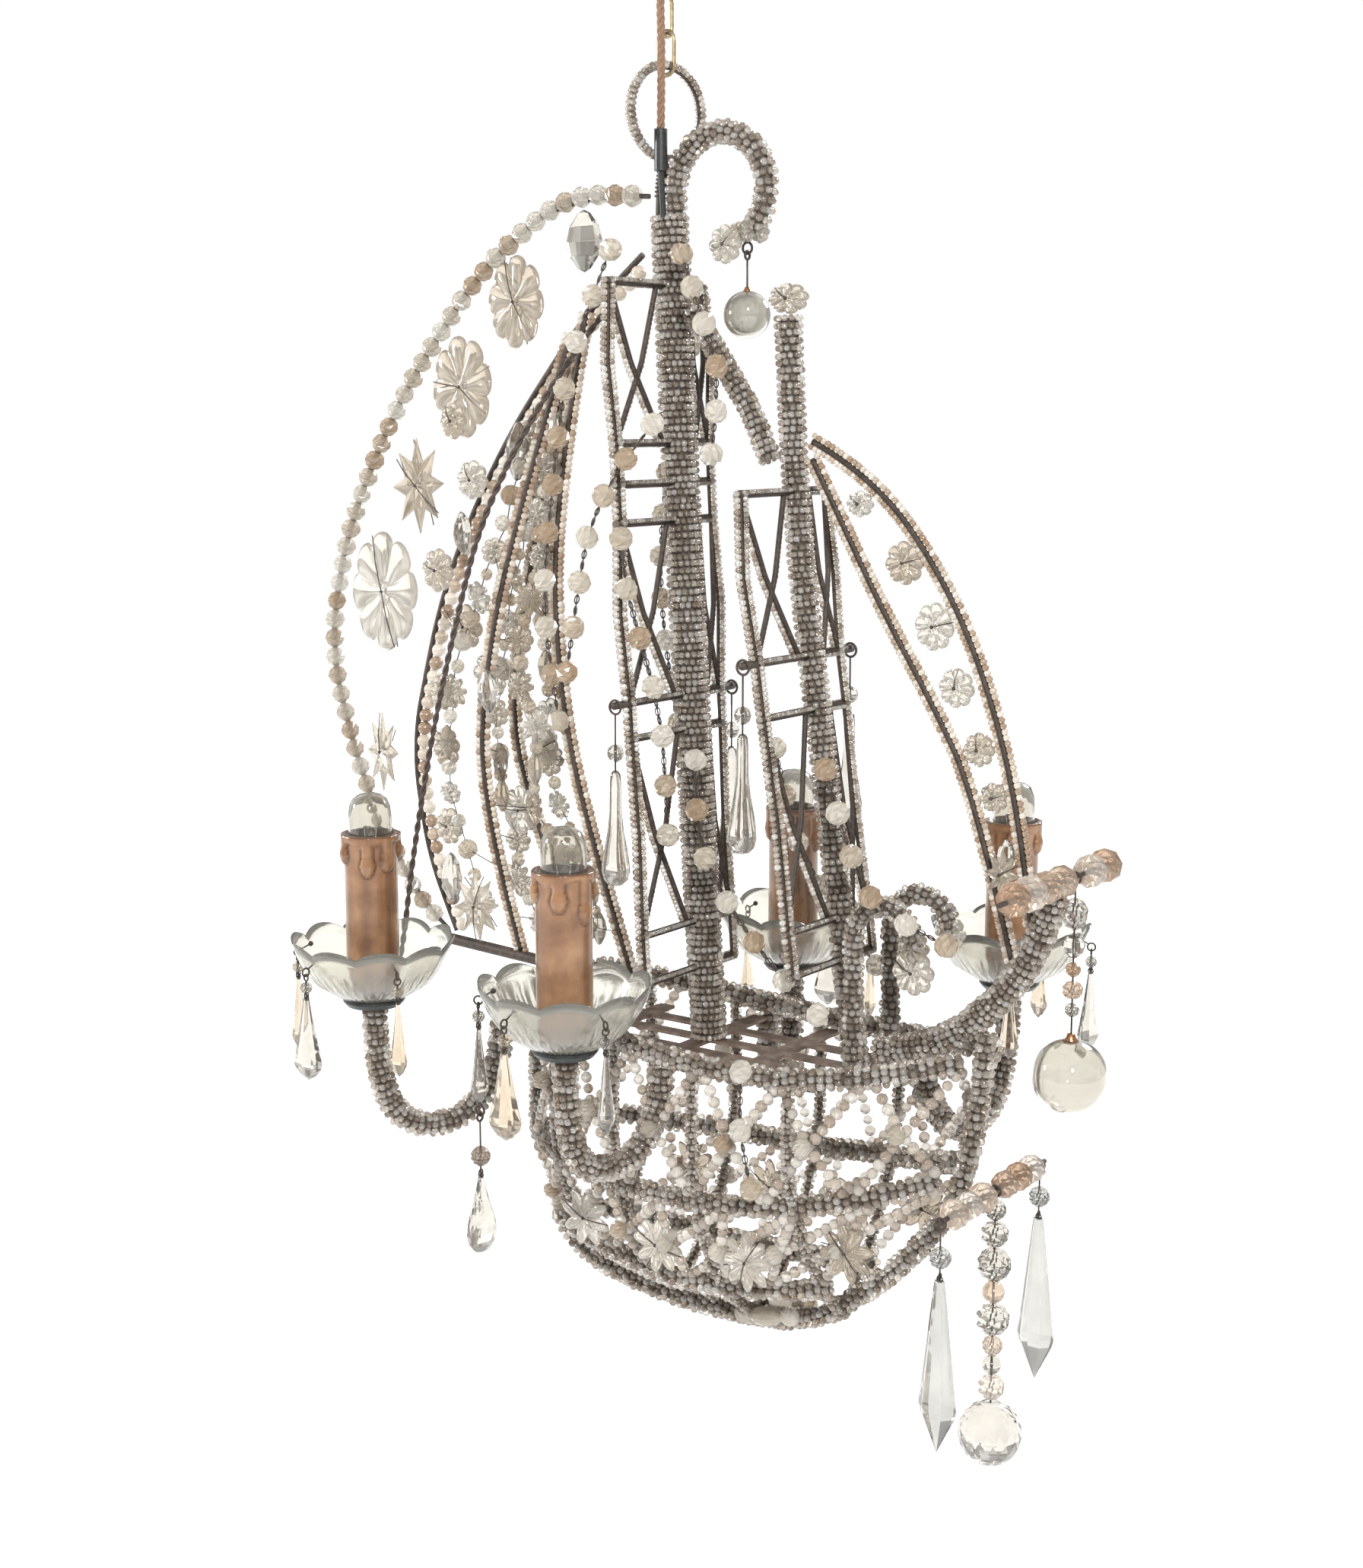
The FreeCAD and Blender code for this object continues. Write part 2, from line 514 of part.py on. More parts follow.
def lamps():
    save("candle_arms", [arm(n) for n in LAMPS])
    save("drip_pans", [pan(n) for n in LAMPS])
    save("lampholders", [lampholder(x, y) for x, y in LAMPS.values()])
    save("candle_sleeves", [candle_sleeve(x, y) for x, y in LAMPS.values()])
    save("bulbs", [bulb(x, y) for x, y in LAMPS.values()])
    save("arm_lead", [tube(ARM_LEAD, 1.6)])
    save("pan_hooks", [pan_hook(at, way) for n in LAMPS for at, way in drop_places(n)])
    for name in LAMPS:
        for i, (at, way) in enumerate(drop_places(name)):
            slim = i != 1
            body = kite(TEAR_DROP_LENGTH, 5.2) if slim else kite(50, 9.5)
            drop = pan_drop(at, way, body)
            if name == "near" and i == 0:
                drop = drop.fuse(fixed_eye(tear_eye()))
            save("pan_drop_%s_%d" % (name, i + 1), [drop])


# ---- hanging crystals away from the pans ----
def pendant(profile, carrier, carrier_r, along_bar=True):
    """An eye round its carrier, lowered so that its top rests there, and the turned piece below."""
    eye_r = carrier_r + EYE_PLAY + EYE_WIRE_R
    x, y, z = carrier
    centre = V(x, y, z - EYE_PLAY + GAP)
    eye = Part.makeTorus(eye_r, EYE_WIRE_R, centre, ACROSS if along_bar else V(1, 0, 0))
    return eye.fuse(turned(profile, (x, y, centre.z - eye_r - EYE_WIRE_R + 0.4)))


def fixed_eye(at):
    """A wire eye in the ship's length that carries a pendant; its lowest wire centre is at the point."""
    return Part.makeTorus(2.6, EYE_WIRE_R, V(at[0], at[1], at[2] + 2.6), ACROSS)


def sphere_profile(top, radius, steps=10):
    between = [(radius * math.sin(math.pi * i / steps), top - radius + radius * math.cos(math.pi * i / steps))
               for i in range(1, steps)]
    return [(0, top)] + between + [(0, top - 2 * radius)]


def stem_then(stem, rest):
    """A thin wire of the given length above another profile that starts on the axis."""
    return [(0, 0), (0.8, 0), (0.8, -stem)] + [(r, z - stem) for r, z in rest[1:]]


def pendants():
    long_drop = stem_then(14, [(0, 0), (4.0, -4), (0.9, -8), (2.6, -13), (2.8, -40), (6.4, -52), (6.8, -60),
                               (4.0, -66), (0, -68)])
    prism = stem_then(8, [(0, 0), (5.2, -5), (1.0, -10), (1.0, -15), (6.2, -25), (10.0, -76), (0, -98)])
    tear = stem_then(12, [(0, 0), (4.4, -5), (1.0, -10), (1.0, -14), (5.0, -24), (9.2, -40), (6.5, -49),
                          (0, -52)])
    scroll_ball = stem_then(14, sphere_profile(0, 11))
    save("scroll_ball", [pendant(scroll_ball, SCROLL_EYE, EYE_WIRE_R, False)])
    save("stern_tear", [pendant(tear, tear_eye(), EYE_WIRE_R, False)])
    bow_x, _, bow_z = UPPER_CROSSBAR
    low_x, _, low_z = LOWER_CROSSBAR
    for node, profile, at in (("bow_ball", bow_string(), (bow_x, BOW_BALL_Y, bow_z)),
                              ("bead_tassel", tassel(), (low_x, TASSEL_Y, low_z)),
                              ("prism_near", prism, (low_x, -PRISM_Y, low_z)),
                              ("prism_far", prism, (low_x, PRISM_Y, low_z))):
        save(node, [pendant(profile, at, CROSSBAR_WIRE_R)])
    for name, mast, z, reach in (("main", MAIN_MAST, MAIN_DROP_Z, MAIN_REACH),
                                 ("fore", FORE_MAST, FORE_DROP_Z, FORE_REACH)):
        for place, side, out in (("near", -1, reach[0]), ("far", 1, reach[1])):
            at = (mast_x(mast, z), side * (out - 1.2), z)
            save("long_drop_%s_%s" % (name, place), [pendant(long_drop, at, BAR_R)])


def bow_string():
    """Two oval beads on a wire above the clear ball."""
    beads = [(0, 0), (6.0, -8), (1.0, -16), (5.5, -22), (1.0, -28), (1.0, -66)]
    ball_part = [(r, z - 66) for r, z in sphere_profile(0, 17.5)[1:]]
    return stem_then(6, beads + ball_part)


def tassel():
    """Eight beads of changing size above the faceted ball."""
    profile, z = [(0, 0)], -1.0
    for r in (5.2, 6.6, 8.2, 5.4, 8.0, 5.0, 4.6, 6.4):
        profile += [(1.0, z), (r * 0.8, z - r * 0.5), (r, z - r), (r * 0.8, z - r * 1.5), (1.0, z - 2 * r)]
        z -= 2 * r
    profile += [(1.0, z - 1)] + [(r, h + z - 1) for r, h in sphere_profile(0, 15.5)[1:-1]] + [(0, z - 32)]
    return profile


if __name__ == "__main__":
    os.makedirs("parts", exist_ok=True)
    suspension()
    masts()
    hull()
    rigging()
    lamps()
    pendants()
    for name, points in (("flex", FLEX), ("lead", ARM_LEAD)):
        corners = [V(*p) for p in points]
        radii = [round(arc_radius(*three)[0]) for three in zip(corners, corners[1:], corners[2:])]
        print(name, "bend radii", radii)
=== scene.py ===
"""The beaded ship chandelier's looks: everything in metres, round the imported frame."""
import bmesh
import bpy
import math
import numpy as np
from mathutils import Matrix, Vector


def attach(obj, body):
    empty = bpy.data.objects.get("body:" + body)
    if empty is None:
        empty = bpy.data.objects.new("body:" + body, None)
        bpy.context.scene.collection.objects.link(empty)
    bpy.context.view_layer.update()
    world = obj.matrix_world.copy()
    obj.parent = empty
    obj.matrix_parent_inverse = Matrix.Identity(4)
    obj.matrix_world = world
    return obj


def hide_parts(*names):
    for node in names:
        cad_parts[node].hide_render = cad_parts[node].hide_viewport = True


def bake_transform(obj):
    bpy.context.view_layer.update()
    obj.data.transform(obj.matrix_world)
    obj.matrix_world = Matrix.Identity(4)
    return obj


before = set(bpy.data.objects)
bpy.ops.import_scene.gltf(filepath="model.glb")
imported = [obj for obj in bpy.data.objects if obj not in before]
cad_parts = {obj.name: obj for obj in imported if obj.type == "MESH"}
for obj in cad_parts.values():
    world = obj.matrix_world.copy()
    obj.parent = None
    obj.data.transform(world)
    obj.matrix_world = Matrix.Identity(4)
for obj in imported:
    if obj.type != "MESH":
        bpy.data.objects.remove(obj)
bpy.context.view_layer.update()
MM = 0.001
RNG = np.random.default_rng(7)

# ---------------------------------------------------------------- camera, floor, light
AIM_AZIMUTH, AIM_DOWN = 36.0, 9.6
CAMERA_AT = (0.641, -0.870, -0.242)
FOCAL_MM = 50.66
FLOOR_Z, FLOOR_HALF = -1.35, 6.0
ROOM_LIGHT = 0.84


def camera():
    cam = bpy.data.cameras.new("camera")
    cam.lens, cam.sensor_width = FOCAL_MM, 36.0
    obj = bpy.data.objects.new("camera", cam)
    obj.location = CAMERA_AT
    obj.rotation_euler = (math.radians(90 - AIM_DOWN), 0, math.radians(AIM_AZIMUTH))
    bpy.context.collection.objects.link(obj)
    bpy.context.scene.camera = obj


def lamp(name, at, size, power):
    light = bpy.data.lights.new(name, "AREA")
    light.shape, light.size, light.energy = "DISK", size, power
    obj = bpy.data.objects.new(name, light)
    obj.location = at
    obj.rotation_euler = (Vector(at) - Vector((0, 0, -0.4))).to_track_quat("Z", "Y").to_euler()
    bpy.context.collection.objects.link(obj)


def add_node(tree, kind, **values):
    """A new shader node, with values for its inputs, whose names have _ for a space."""
    made = tree.nodes.new("ShaderNode" + kind)
    for name, value in values.items():
        made.inputs[name.replace("_", " ")].default_value = value
    return made


def join(tree, start, output, end, socket):
    tree.links.new(start.outputs[output], end.inputs[socket])


def surroundings():
    """Plain white where it is seen directly; soft uneven bands for glass and metal to show."""
    world = bpy.data.worlds.new("studio")
    world.use_nodes = True
    tree = world.node_tree
    plain = tree.nodes["Background"]
    plain.inputs["Strength"].default_value = 1.0
    plain.inputs["Color"].default_value = (1.0, 1.0, 1.0, 1)
    room = add_node(tree, "Background", Strength=ROOM_LIGHT)
    coords = add_node(tree, "TexCoord")
    bands = add_node(tree, "TexNoise", Scale=2.4, Detail=1.0)
    panels = add_node(tree, "ValToRGB")
    stops = panels.color_ramp.elements
    stops[0].position, stops[1].position = 0.38, 0.60
    stops[0].color, stops[1].color = (0.16, 0.155, 0.15, 1), (1.15, 1.15, 1.15, 1)
    join(tree, coords, "Generated", bands, "Vector")
    join(tree, bands, "Fac", panels, "Fac")
    join(tree, panels, "Color", room, "Color")
    seen = add_node(tree, "LightPath")
    either = add_node(tree, "MixShader")
    join(tree, seen, "Is Camera Ray", either, 0)
    join(tree, room, 0, either, 1)
    join(tree, plain, 0, either, 2)
    tree.links.new(either.outputs[0], tree.nodes["World Output"].inputs["Surface"])
    bpy.context.scene.world = world
    bpy.context.scene.view_settings.view_transform = "Standard"


def studio():
    surroundings()
    lamp("key", (1.3, -1.5, 0.7), 0.35, 42)
    lamp("side", (-1.6, -0.9, 0.1), 0.4, 26)
    lamp("back", (0.2, 1.8, 0.5), 0.5, 26)
    floor_plane()


def floor_plane():
    """A plain pale floor that glows more with distance, towards the white around it."""
    mesh = bpy.data.meshes.new("floor")
    mesh.from_pydata([(x, y, FLOOR_Z) for x, y in ((-FLOOR_HALF, -FLOOR_HALF), (FLOOR_HALF, -FLOOR_HALF),
                                                   (FLOOR_HALF, FLOOR_HALF), (-FLOOR_HALF, FLOOR_HALF))],
                     [], [(0, 1, 2, 3)])
    floor = bpy.data.objects.new("floor", mesh)
    bpy.context.collection.objects.link(floor)
    paint = bpy.data.materials.new("floor")
    paint.use_nodes = True
    shader = paint.node_tree.nodes["Principled BSDF"]
    shader.inputs["Base Color"].default_value = (0.93, 0.93, 0.93, 1)
    shader.inputs["Roughness"].default_value = 0.9
    tree = paint.node_tree
    coords = add_node(tree, "TexCoord")
    reach = add_node(tree, "VectorMath")
    reach.operation = "LENGTH"
    glow = add_node(tree, "MapRange")
    glow.inputs["From Min"].default_value, glow.inputs["From Max"].default_value = 0.8, 3.6
    glow.inputs["To Max"].default_value = 1.0
    join(tree, coords, "Object", reach, 0)
    join(tree, reach, "Value", glow, "Value")
    shader.inputs["Emission Color"].default_value = (1, 1, 1, 1)
    join(tree, glow, "Result", shader, "Emission Strength")
    mesh.materials.append(paint)


# ---------------------------------------------------------------- materials
def material(name, colours, rough, metal=0.0, glass=0.0, ior=1.5, grain=300.0, bump=0.0, bump_scale=None,
             per_piece=0.6, coat=0.0):
    """A principled material: colour from two to three stops driven by noise and by each loose piece."""
    mat = bpy.data.materials.new(name)
    mat.use_nodes = True
    tree = mat.node_tree
    shader = tree.nodes["Principled BSDF"]
    coords = add_node(tree, "TexCoord")
    noise = add_node(tree, "TexNoise", Scale=grain, Detail=4.0)
    join(tree, coords, "Object", noise, "Vector")
    island = add_node(tree, "NewGeometry")
    mix = add_node(tree, "Mix", Factor=per_piece)
    join(tree, noise, "Fac", mix, "A")
    join(tree, island, "Random Per Island", mix, "B")
    ramp = add_node(tree, "ValToRGB")
    ramp.color_ramp.elements[0].position, ramp.color_ramp.elements[1].position = 0.2, 0.8
    ramp.color_ramp.elements[0].color = (*colours[0], 1)
    ramp.color_ramp.elements[1].color = (*colours[-1], 1)
    if len(colours) == 3:
        ramp.color_ramp.elements.new(0.5).color = (*colours[1], 1)
    join(tree, mix, "Result", ramp, "Fac")
    join(tree, ramp, "Color", shader, "Base Color")
    span = add_node(tree, "MapRange")
    span.inputs["To Min"].default_value, span.inputs["To Max"].default_value = rough
    join(tree, noise, "Fac", span, "Value")
    join(tree, span, "Result", shader, "Roughness")
    for socket, value in (("Metallic", metal), ("Transmission Weight", glass), ("IOR", ior),
                          ("Coat Weight", coat)):
        shader.inputs[socket].default_value = value
    if bump:
        relief = add_node(tree, "TexNoise", Scale=bump_scale or grain, Detail=6.0)
        join(tree, coords, "Object", relief, "Vector")
        node = add_node(tree, "Bump", Strength=bump, Distance=0.0004)
        join(tree, relief, "Fac", node, "Height")
        join(tree, node, "Normal", shader, "Normal")
    return mat


# Each finish: its material's name, colours from dark to light, range of roughness, and its other values.
FINISHES = {
    "seed": ("seed_beads", [(0.414, 0.337, 0.266), (0.684, 0.612, 0.523), (0.882, 0.849, 0.788)],
        (0.02, 0.1), dict(glass=0.74, per_piece=0.85, coat=0.3)),
    "aged": ("aged_crystal", [(0.504, 0.385, 0.266), (0.666, 0.604, 0.498), (0.783, 0.744, 0.664)],
        (0.04, 0.2), dict(glass=0.6, per_piece=0.75)),
    "moulded": ("moulded_crystal", [(0.54, 0.455, 0.349), (0.693, 0.639, 0.548), (0.801, 0.77, 0.705)],
        (0.03, 0.14), dict(glass=0.76, per_piece=0.55, grain=90, bump=0.08, bump_scale=120)),
    "cut": ("cut_crystal", [(0.54, 0.499, 0.432), (0.774, 0.752, 0.705)],
        (0.01, 0.06), dict(glass=0.95, grain=60, per_piece=0.1, ior=1.55)),
    "clear": ("clear_glass", [(0.72, 0.7, 0.639), (0.81, 0.787, 0.73)],
        (0.01, 0.05), dict(glass=0.95, grain=40, per_piece=0.0, ior=1.48)),
    "pan": ("pressed_glass", [(0.72, 0.709, 0.631), (0.846, 0.827, 0.759)],
        (0.04, 0.20), dict(glass=0.88, grain=70, per_piece=0.1, bump=0.25, bump_scale=260)),
    "iron": ("browned_iron", [(0.018, 0.013, 0.010), (0.05, 0.037, 0.029), (0.11, 0.082, 0.064)],
        (0.4, 0.75), dict(metal=0.35, grain=420, per_piece=0.15, bump=0.5, bump_scale=900)),
    "brass": ("antique_brass", [(0.12, 0.09, 0.05), (0.34, 0.27, 0.16), (0.50, 0.43, 0.29)],
        (0.25, 0.5), dict(metal=0.9, grain=350, per_piece=0.2, bump=0.3, bump_scale=700)),
    "deck": ("brown_metal", [(0.07, 0.05, 0.04), (0.17, 0.12, 0.09), (0.30, 0.24, 0.20)],
        (0.35, 0.65), dict(metal=0.4, grain=160, per_piece=0.1, bump=0.4, bump_scale=500)),
    "cloth": ("cloth_flex", [(0.10, 0.055, 0.03), (0.24, 0.14, 0.085), (0.36, 0.23, 0.15)],
        (0.7, 0.9), dict(grain=1500, per_piece=0.1, bump=0.8, bump_scale=2600)),
    "sleeve": ("black_sleeve", [(0.008, 0.008, 0.008), (0.03, 0.03, 0.03)],
        (0.3, 0.5), dict(grain=500, per_piece=0.0, bump=0.2)),
    "holder": ("dark_holder", [(0.012, 0.014, 0.015), (0.05, 0.055, 0.055)],
        (0.25, 0.5), dict(metal=0.5, grain=300, per_piece=0.0, bump=0.3)),
    "copper": ("copper_cap", [(0.30, 0.13, 0.06), (0.62, 0.33, 0.18)],
        (0.2, 0.4), dict(metal=0.9, grain=500, per_piece=0.0, bump=0.2)),
    "silver": ("silvered", [(0.55, 0.56, 0.58), (0.85, 0.86, 0.88)],
        (0.08, 0.2), dict(metal=1.0, grain=300, per_piece=0.0, bump=0.1)),
    "core": ("bar_core", [(0.03, 0.022, 0.017), (0.07, 0.055, 0.042), (0.13, 0.105, 0.085)],
        (0.5, 0.8), dict(metal=0.2, grain=500, per_piece=0.0, bump=0.6, bump_scale=900)),
    "honey": ("honey_beads", [(0.40, 0.28, 0.19), (0.60, 0.50, 0.39), (0.80, 0.73, 0.64)],
        (0.06, 0.25), dict(glass=0.5, per_piece=0.8)),
    "net": ("net_beads", [(0.504, 0.42, 0.34), (0.684, 0.621, 0.539), (0.837, 0.796, 0.73)],
        (0.03, 0.14), dict(glass=0.65, per_piece=0.8)),
    "honey_glass": ("honey_glass", [(0.60, 0.42, 0.29), (0.74, 0.62, 0.50), (0.84, 0.77, 0.69)],
        (0.03, 0.16), dict(glass=0.75, per_piece=0.8, bump=0.1, bump_scale=260)),
    "warm_cut": ("warm_cut", [(0.62, 0.50, 0.35), (0.84, 0.78, 0.68)],
        (0.01, 0.07), dict(glass=0.93, grain=60, per_piece=0.1, ior=1.55)),
    "smoked": ("smoked_bead", [(0.25, 0.18, 0.13), (0.55, 0.46, 0.38)],
        (0.05, 0.2), dict(glass=0.8, grain=120, per_piece=0.1)),
    "spear": ("grey_cut", [(0.396, 0.394, 0.373), (0.684, 0.674, 0.639)],
        (0.01, 0.06), dict(glass=0.9, grain=45, per_piece=0.0, ior=1.55)),
    "stem": ("bulb_stem", [(0.55, 0.57, 0.58), (0.88, 0.90, 0.92)],
        (0.06, 0.2), dict(metal=0.7, glass=0.4, grain=200, per_piece=0.0)),
    "lead": ("lead_braid", [(0.02, 0.014, 0.011), (0.06, 0.042, 0.033), (0.11, 0.08, 0.065)],
        (0.6, 0.85), dict(grain=900, per_piece=0.1, bump=0.8, bump_scale=2200)),
}


def make_materials():
    """Every finish of the lamp, by its short name."""
    mats = {key: material(name, colours, rough, **rest)
            for key, (name, colours, rough, rest) in FINISHES.items()}
    mats["wax"] = wax_material()
    return mats


def wax_material():
    """Ochre antiqued sleeve: brown stain in streaks, painted shade beside and under the drips, and darker
    at the top lip, inside and towards the foot.
    """
    mat = material("candle_wax", [(0.10, 0.043, 0.018), (0.235, 0.115, 0.052), (0.36, 0.20, 0.098)],
                   (0.16, 0.30),
                   grain=75, per_piece=0.0, bump=0.25, bump_scale=900, coat=0.35)
    tree = mat.node_tree
    ramp = next(n for n in tree.nodes if n.type == "VALTORGB")
    shader = tree.nodes["Principled BSDF"]
    # Per-point mix of real stain streaks and painted shade beside the runs, pulling the ochre towards dark
    # brown.
    stain_and_shade = add_node(tree, "VertexColor")
    stain_and_shade.layer_name = "stain_and_shade"
    blend = add_node(tree, "Mix")
    blend.data_type = "RGBA"
    # The dark brown that both the stain and the painted shade reach.
    blend.inputs[7].default_value = (0.085, 0.032, 0.012, 1)
    join(tree, stain_and_shade, "Color", blend, 0)
    join(tree, ramp, "Color", blend, 6)
    join(tree, blend, 2, shader, "Base Color")
    return mat


# ---------------------------------------------------------------- mesh helpers
def build_mesh(name, verts, loops, sizes, mats, face_mats, flags):
    """A mesh from flat arrays, which is quick for hundreds of thousands of faces."""
    mesh = bpy.data.meshes.new(name)
    mesh.vertices.add(len(verts))
    mesh.vertices.foreach_set("co", np.asarray(verts, dtype=np.float32).ravel())
    mesh.loops.add(len(loops))
    mesh.loops.foreach_set("vertex_index", np.asarray(loops, dtype=np.int32))
    mesh.polygons.add(len(sizes))
    starts = np.concatenate([[0], np.cumsum(sizes)[:-1]]).astype(np.int32)
    mesh.polygons.foreach_set("loop_start", starts)
    mesh.polygons.foreach_set("material_index", np.asarray(face_mats, dtype=np.int32))
    for mat in mats:
        mesh.materials.append(mat)
    mesh.update(calc_edges=True)
    mesh.polygons.foreach_set("use_smooth", np.asarray(flags, dtype=bool))
    mesh.update()
    return mesh


class Kit:
    """Gathers many small shapes into one mesh."""

    def __init__(self):
        self.verts, self.loops, self.sizes, self.mats, self.flags, self.count = [], [], [], [], [], 0

    def many(self, shape, matrices, mat=0, smooth=True):
        """The same shape at every 4x4 matrix of an (n, 4, 4) array."""
        verts, faces = np.asarray(shape[0], dtype=float), shape[1]
        matrices = np.asarray(matrices, dtype=float)
        n, k = len(matrices), len(verts)
        if not n:
            return
        placed = np.einsum("nij,vj->nvi", matrices[:, :3, :3], verts) + matrices[:, None, :3, 3]
        flat = np.array([i for f in faces for i in f], dtype=np.int64)
        sizes = np.array([len(f) for f in faces], dtype=np.int64)
        self.verts.append(placed.reshape(-1, 3))
        self.loops.append((flat[None] + (self.count + k * np.arange(n))[:, None]).ravel())
        self.sizes.append(np.tile(sizes, n))
        self.mats.append(np.full(n * len(faces), mat))
        self.flags.append(np.full(n * len(faces), smooth))
        self.count += n * k

    def add(self, shape, matrix=None, mat=0, smooth=True):
        self.many(shape, [np.eye(4) if matrix is None else matrix], mat, smooth)

    def piece(self, name, mats, body="lamp", slot="beaded_tube", nodes=()):
        """The gathered mesh as a piece that rides on a body and stands for CAD nodes."""
        mesh = build_mesh(name, *(np.concatenate(x) for x in (self.verts, self.loops, self.sizes)),
                          mats, np.concatenate(self.mats), np.concatenate(self.flags))
        obj = bpy.data.objects.new(name, mesh)
        bpy.context.collection.objects.link(obj)
        if body:
            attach(obj, body)
        if nodes:
            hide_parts(*nodes)
        return obj


def ico(level):
    """Unit icosphere."""
    bm = bmesh.new()
    bmesh.ops.create_icosphere(bm, subdivisions=level, radius=1.0)
    verts = np.array([v.co[:] for v in bm.verts])
    faces = [[v.index for v in f.verts] for f in bm.faces]
    bm.free()
    return verts, faces


def lathe(profile, sides, flat=1.0, twist=0.0):
    """Turned shape about Z from (radius, z) points; the ends on the axis become points."""
    verts, rings, faces = [], [], []
    for j, (r, z) in enumerate(profile):
        if r < 1e-7:
            rings.append([len(verts)])
            verts.append((0, 0, z))
            continue
        rings.append(list(range(len(verts), len(verts) + sides)))
        for i in range(sides):
            a = 2 * math.pi * (i + twist * j) / sides
            verts.append((r * math.cos(a), r * flat * math.sin(a), z))
    for low, high in zip(rings, rings[1:]):
        for i in range(sides):
            k = (i + 1) % sides
            if len(low) == 1 and len(high) == 1:
                continue
            if len(low) == 1:
                faces.append([low[0], high[k], high[i]])
            elif len(high) == 1:
                faces.append([low[i], low[k], high[0]])
            else:
                faces.append([low[i], low[k], high[k], high[i]])
    flipped = profile[0][1] > profile[-1][1]
    return np.array(verts), [f[::-1] for f in faces] if flipped else faces


def quads(rows, around, start=0, closed=False):
    """Faces between rows of points, each row a ring; closed joins the last row to the first."""
    faces = []
    for row in range(rows if closed else rows - 1):
        up = (row + 1) % rows
        for i in range(around):
            k = (i + 1) % around
            faces.append([start + row * around + i, start + row * around + k, start + up * around + k,
                          start + up * around + i])
    return faces


def torus(big, small, sides=20, around=8):
    """Ring about Z."""
    verts = [((big + small * math.cos(b)) * math.cos(a), (big + small * math.cos(b)) * math.sin(a),
              small * math.sin(b)) for a in np.arange(sides) * 2 * math.pi / sides
             for b in np.arange(around) * 2 * math.pi / around]
    faces = []
    for i in range(sides):
        for j in range(around):
            n, m = (i + 1) % sides, (j + 1) % around
            faces.append([i * around + j, n * around + j, n * around + m, i * around + m])
    return np.array(verts), faces


def place(at, x=None, z=None, scale=(1, 1, 1)):
    """4x4 that stands a unit shape at a point with its Z along z and X near x."""
    z = np.array(z if z is not None else (0, 0, 1), dtype=float)
    z /= np.linalg.norm(z)
    x = np.array(x if x is not None else ((1, 0, 0) if abs(z[0]) < 0.9 else (0, 1, 0)), dtype=float)
    y = np.cross(z, x)
    y /= np.linalg.norm(y)
    x = np.cross(y, z)
    out = np.eye(4)
    out[:3, 0], out[:3, 1], out[:3, 2], out[:3, 3] = x * scale[0], y * scale[1], z * scale[2], at
    return out


def place_flat(at, look, scale):
    """4x4 that turns a flat crystal's face, its -Y side, towards look."""
    out = place(at, x=(1, 0, 0.01), z=-np.array(look, dtype=float))
    turned = out.copy()
    turned[:3, 0] = out[:3, 0] * scale[0]
    turned[:3, 1] = out[:3, 2] * scale[1]
    turned[:3, 2] = -out[:3, 1] * scale[2]
    return turned


def smooth_line(points_mm):
    """The points of a NURBS line of order 3 through a route, in metres."""
    curve = bpy.data.curves.new("line", "CURVE")
    curve.dimensions, curve.resolution_u = "3D", 16
    spline = curve.splines.new("NURBS")
    spline.points.add(len(points_mm) - 1)
    for point, co in zip(spline.points, points_mm):
        point.co = (co[0] * MM, co[1] * MM, co[2] * MM, 1)
    spline.order_u, spline.use_endpoint_u = 3, True
    obj = bpy.data.objects.new("line", curve)
    bpy.context.collection.objects.link(obj)
    mesh = bpy.data.meshes.new_from_object(obj.evaluated_get(bpy.context.evaluated_depsgraph_get()))
    points = np.array([v.co[:] for v in mesh.vertices])
    bpy.data.objects.remove(obj)
    bpy.data.curves.remove(curve)
    bpy.data.meshes.remove(mesh)
    return points


def even(points, step):
    """Points at even spacing along a line, with tangents and a frame that doesn't twist."""
    lengths = np.concatenate([[0], np.cumsum(np.linalg.norm(np.diff(points, axis=0), axis=1))])
    count = max(2, int(round(lengths[-1] / step)) + 1)
    at = np.linspace(0, lengths[-1], count)
    line = np.stack([np.interp(at, lengths, points[:, k]) for k in range(3)], axis=1)
    tangent = np.gradient(line, axis=0)
    tangent /= np.linalg.norm(tangent, axis=1)[:, None]
    side = np.zeros_like(line)
    first = np.cross(tangent[0], (0, 0, 1) if abs(tangent[0][2]) < 0.9 else (0, 1, 0))
    side[0] = first / np.linalg.norm(first)
    for i in range(1, count):
        flat = side[i - 1] - tangent[i] * np.dot(side[i - 1], tangent[i])
        side[i] = flat / np.linalg.norm(flat)
    return line, tangent, side, np.cross(tangent, side), lengths[-1]


def bar(kit, points, radius, sides=10, mat=0, step=0.003):
    """A round bar along a line, closed at both ends."""
    line, _, side, other, _ = even(points, step)
    a = np.arange(sides) * 2 * math.pi / sides
    ring = np.cos(a)[None, :, None] * side[:, None] + np.sin(a)[None, :, None] * other[:, None]
    verts = (line[:, None] + ring * radius).reshape(-1, 3)
    faces = quads(len(line), sides)
    faces.append(list(range(sides))[::-1])
    faces.append([(len(line) - 1) * sides + j for j in range(sides)])
    kit.add((verts, faces), mat=mat)


def twisted(kit, route, step, lay, strands, offset, radius, sides, bar_step):
    """Strands twisted round a line, one full turn in each lay's length."""
    line, _, side, other, _ = even(route, step)
    for strand in range(strands):
        turn = np.arange(len(line)) * step / lay * 2 * math.pi + strand * 2 * math.pi / strands
        out = np.cos(turn)[:, None] * side + np.sin(turn)[:, None] * other
        bar(kit, line + out * offset, radius, sides, 0, bar_step)


def stick(kit, a, b, radius, sides=8, mat=0):
    a, b = np.array(a, dtype=float), np.array(b, dtype=float)
    bar(kit, np.stack([a, b]), radius, sides, mat, step=np.linalg.norm(b - a))


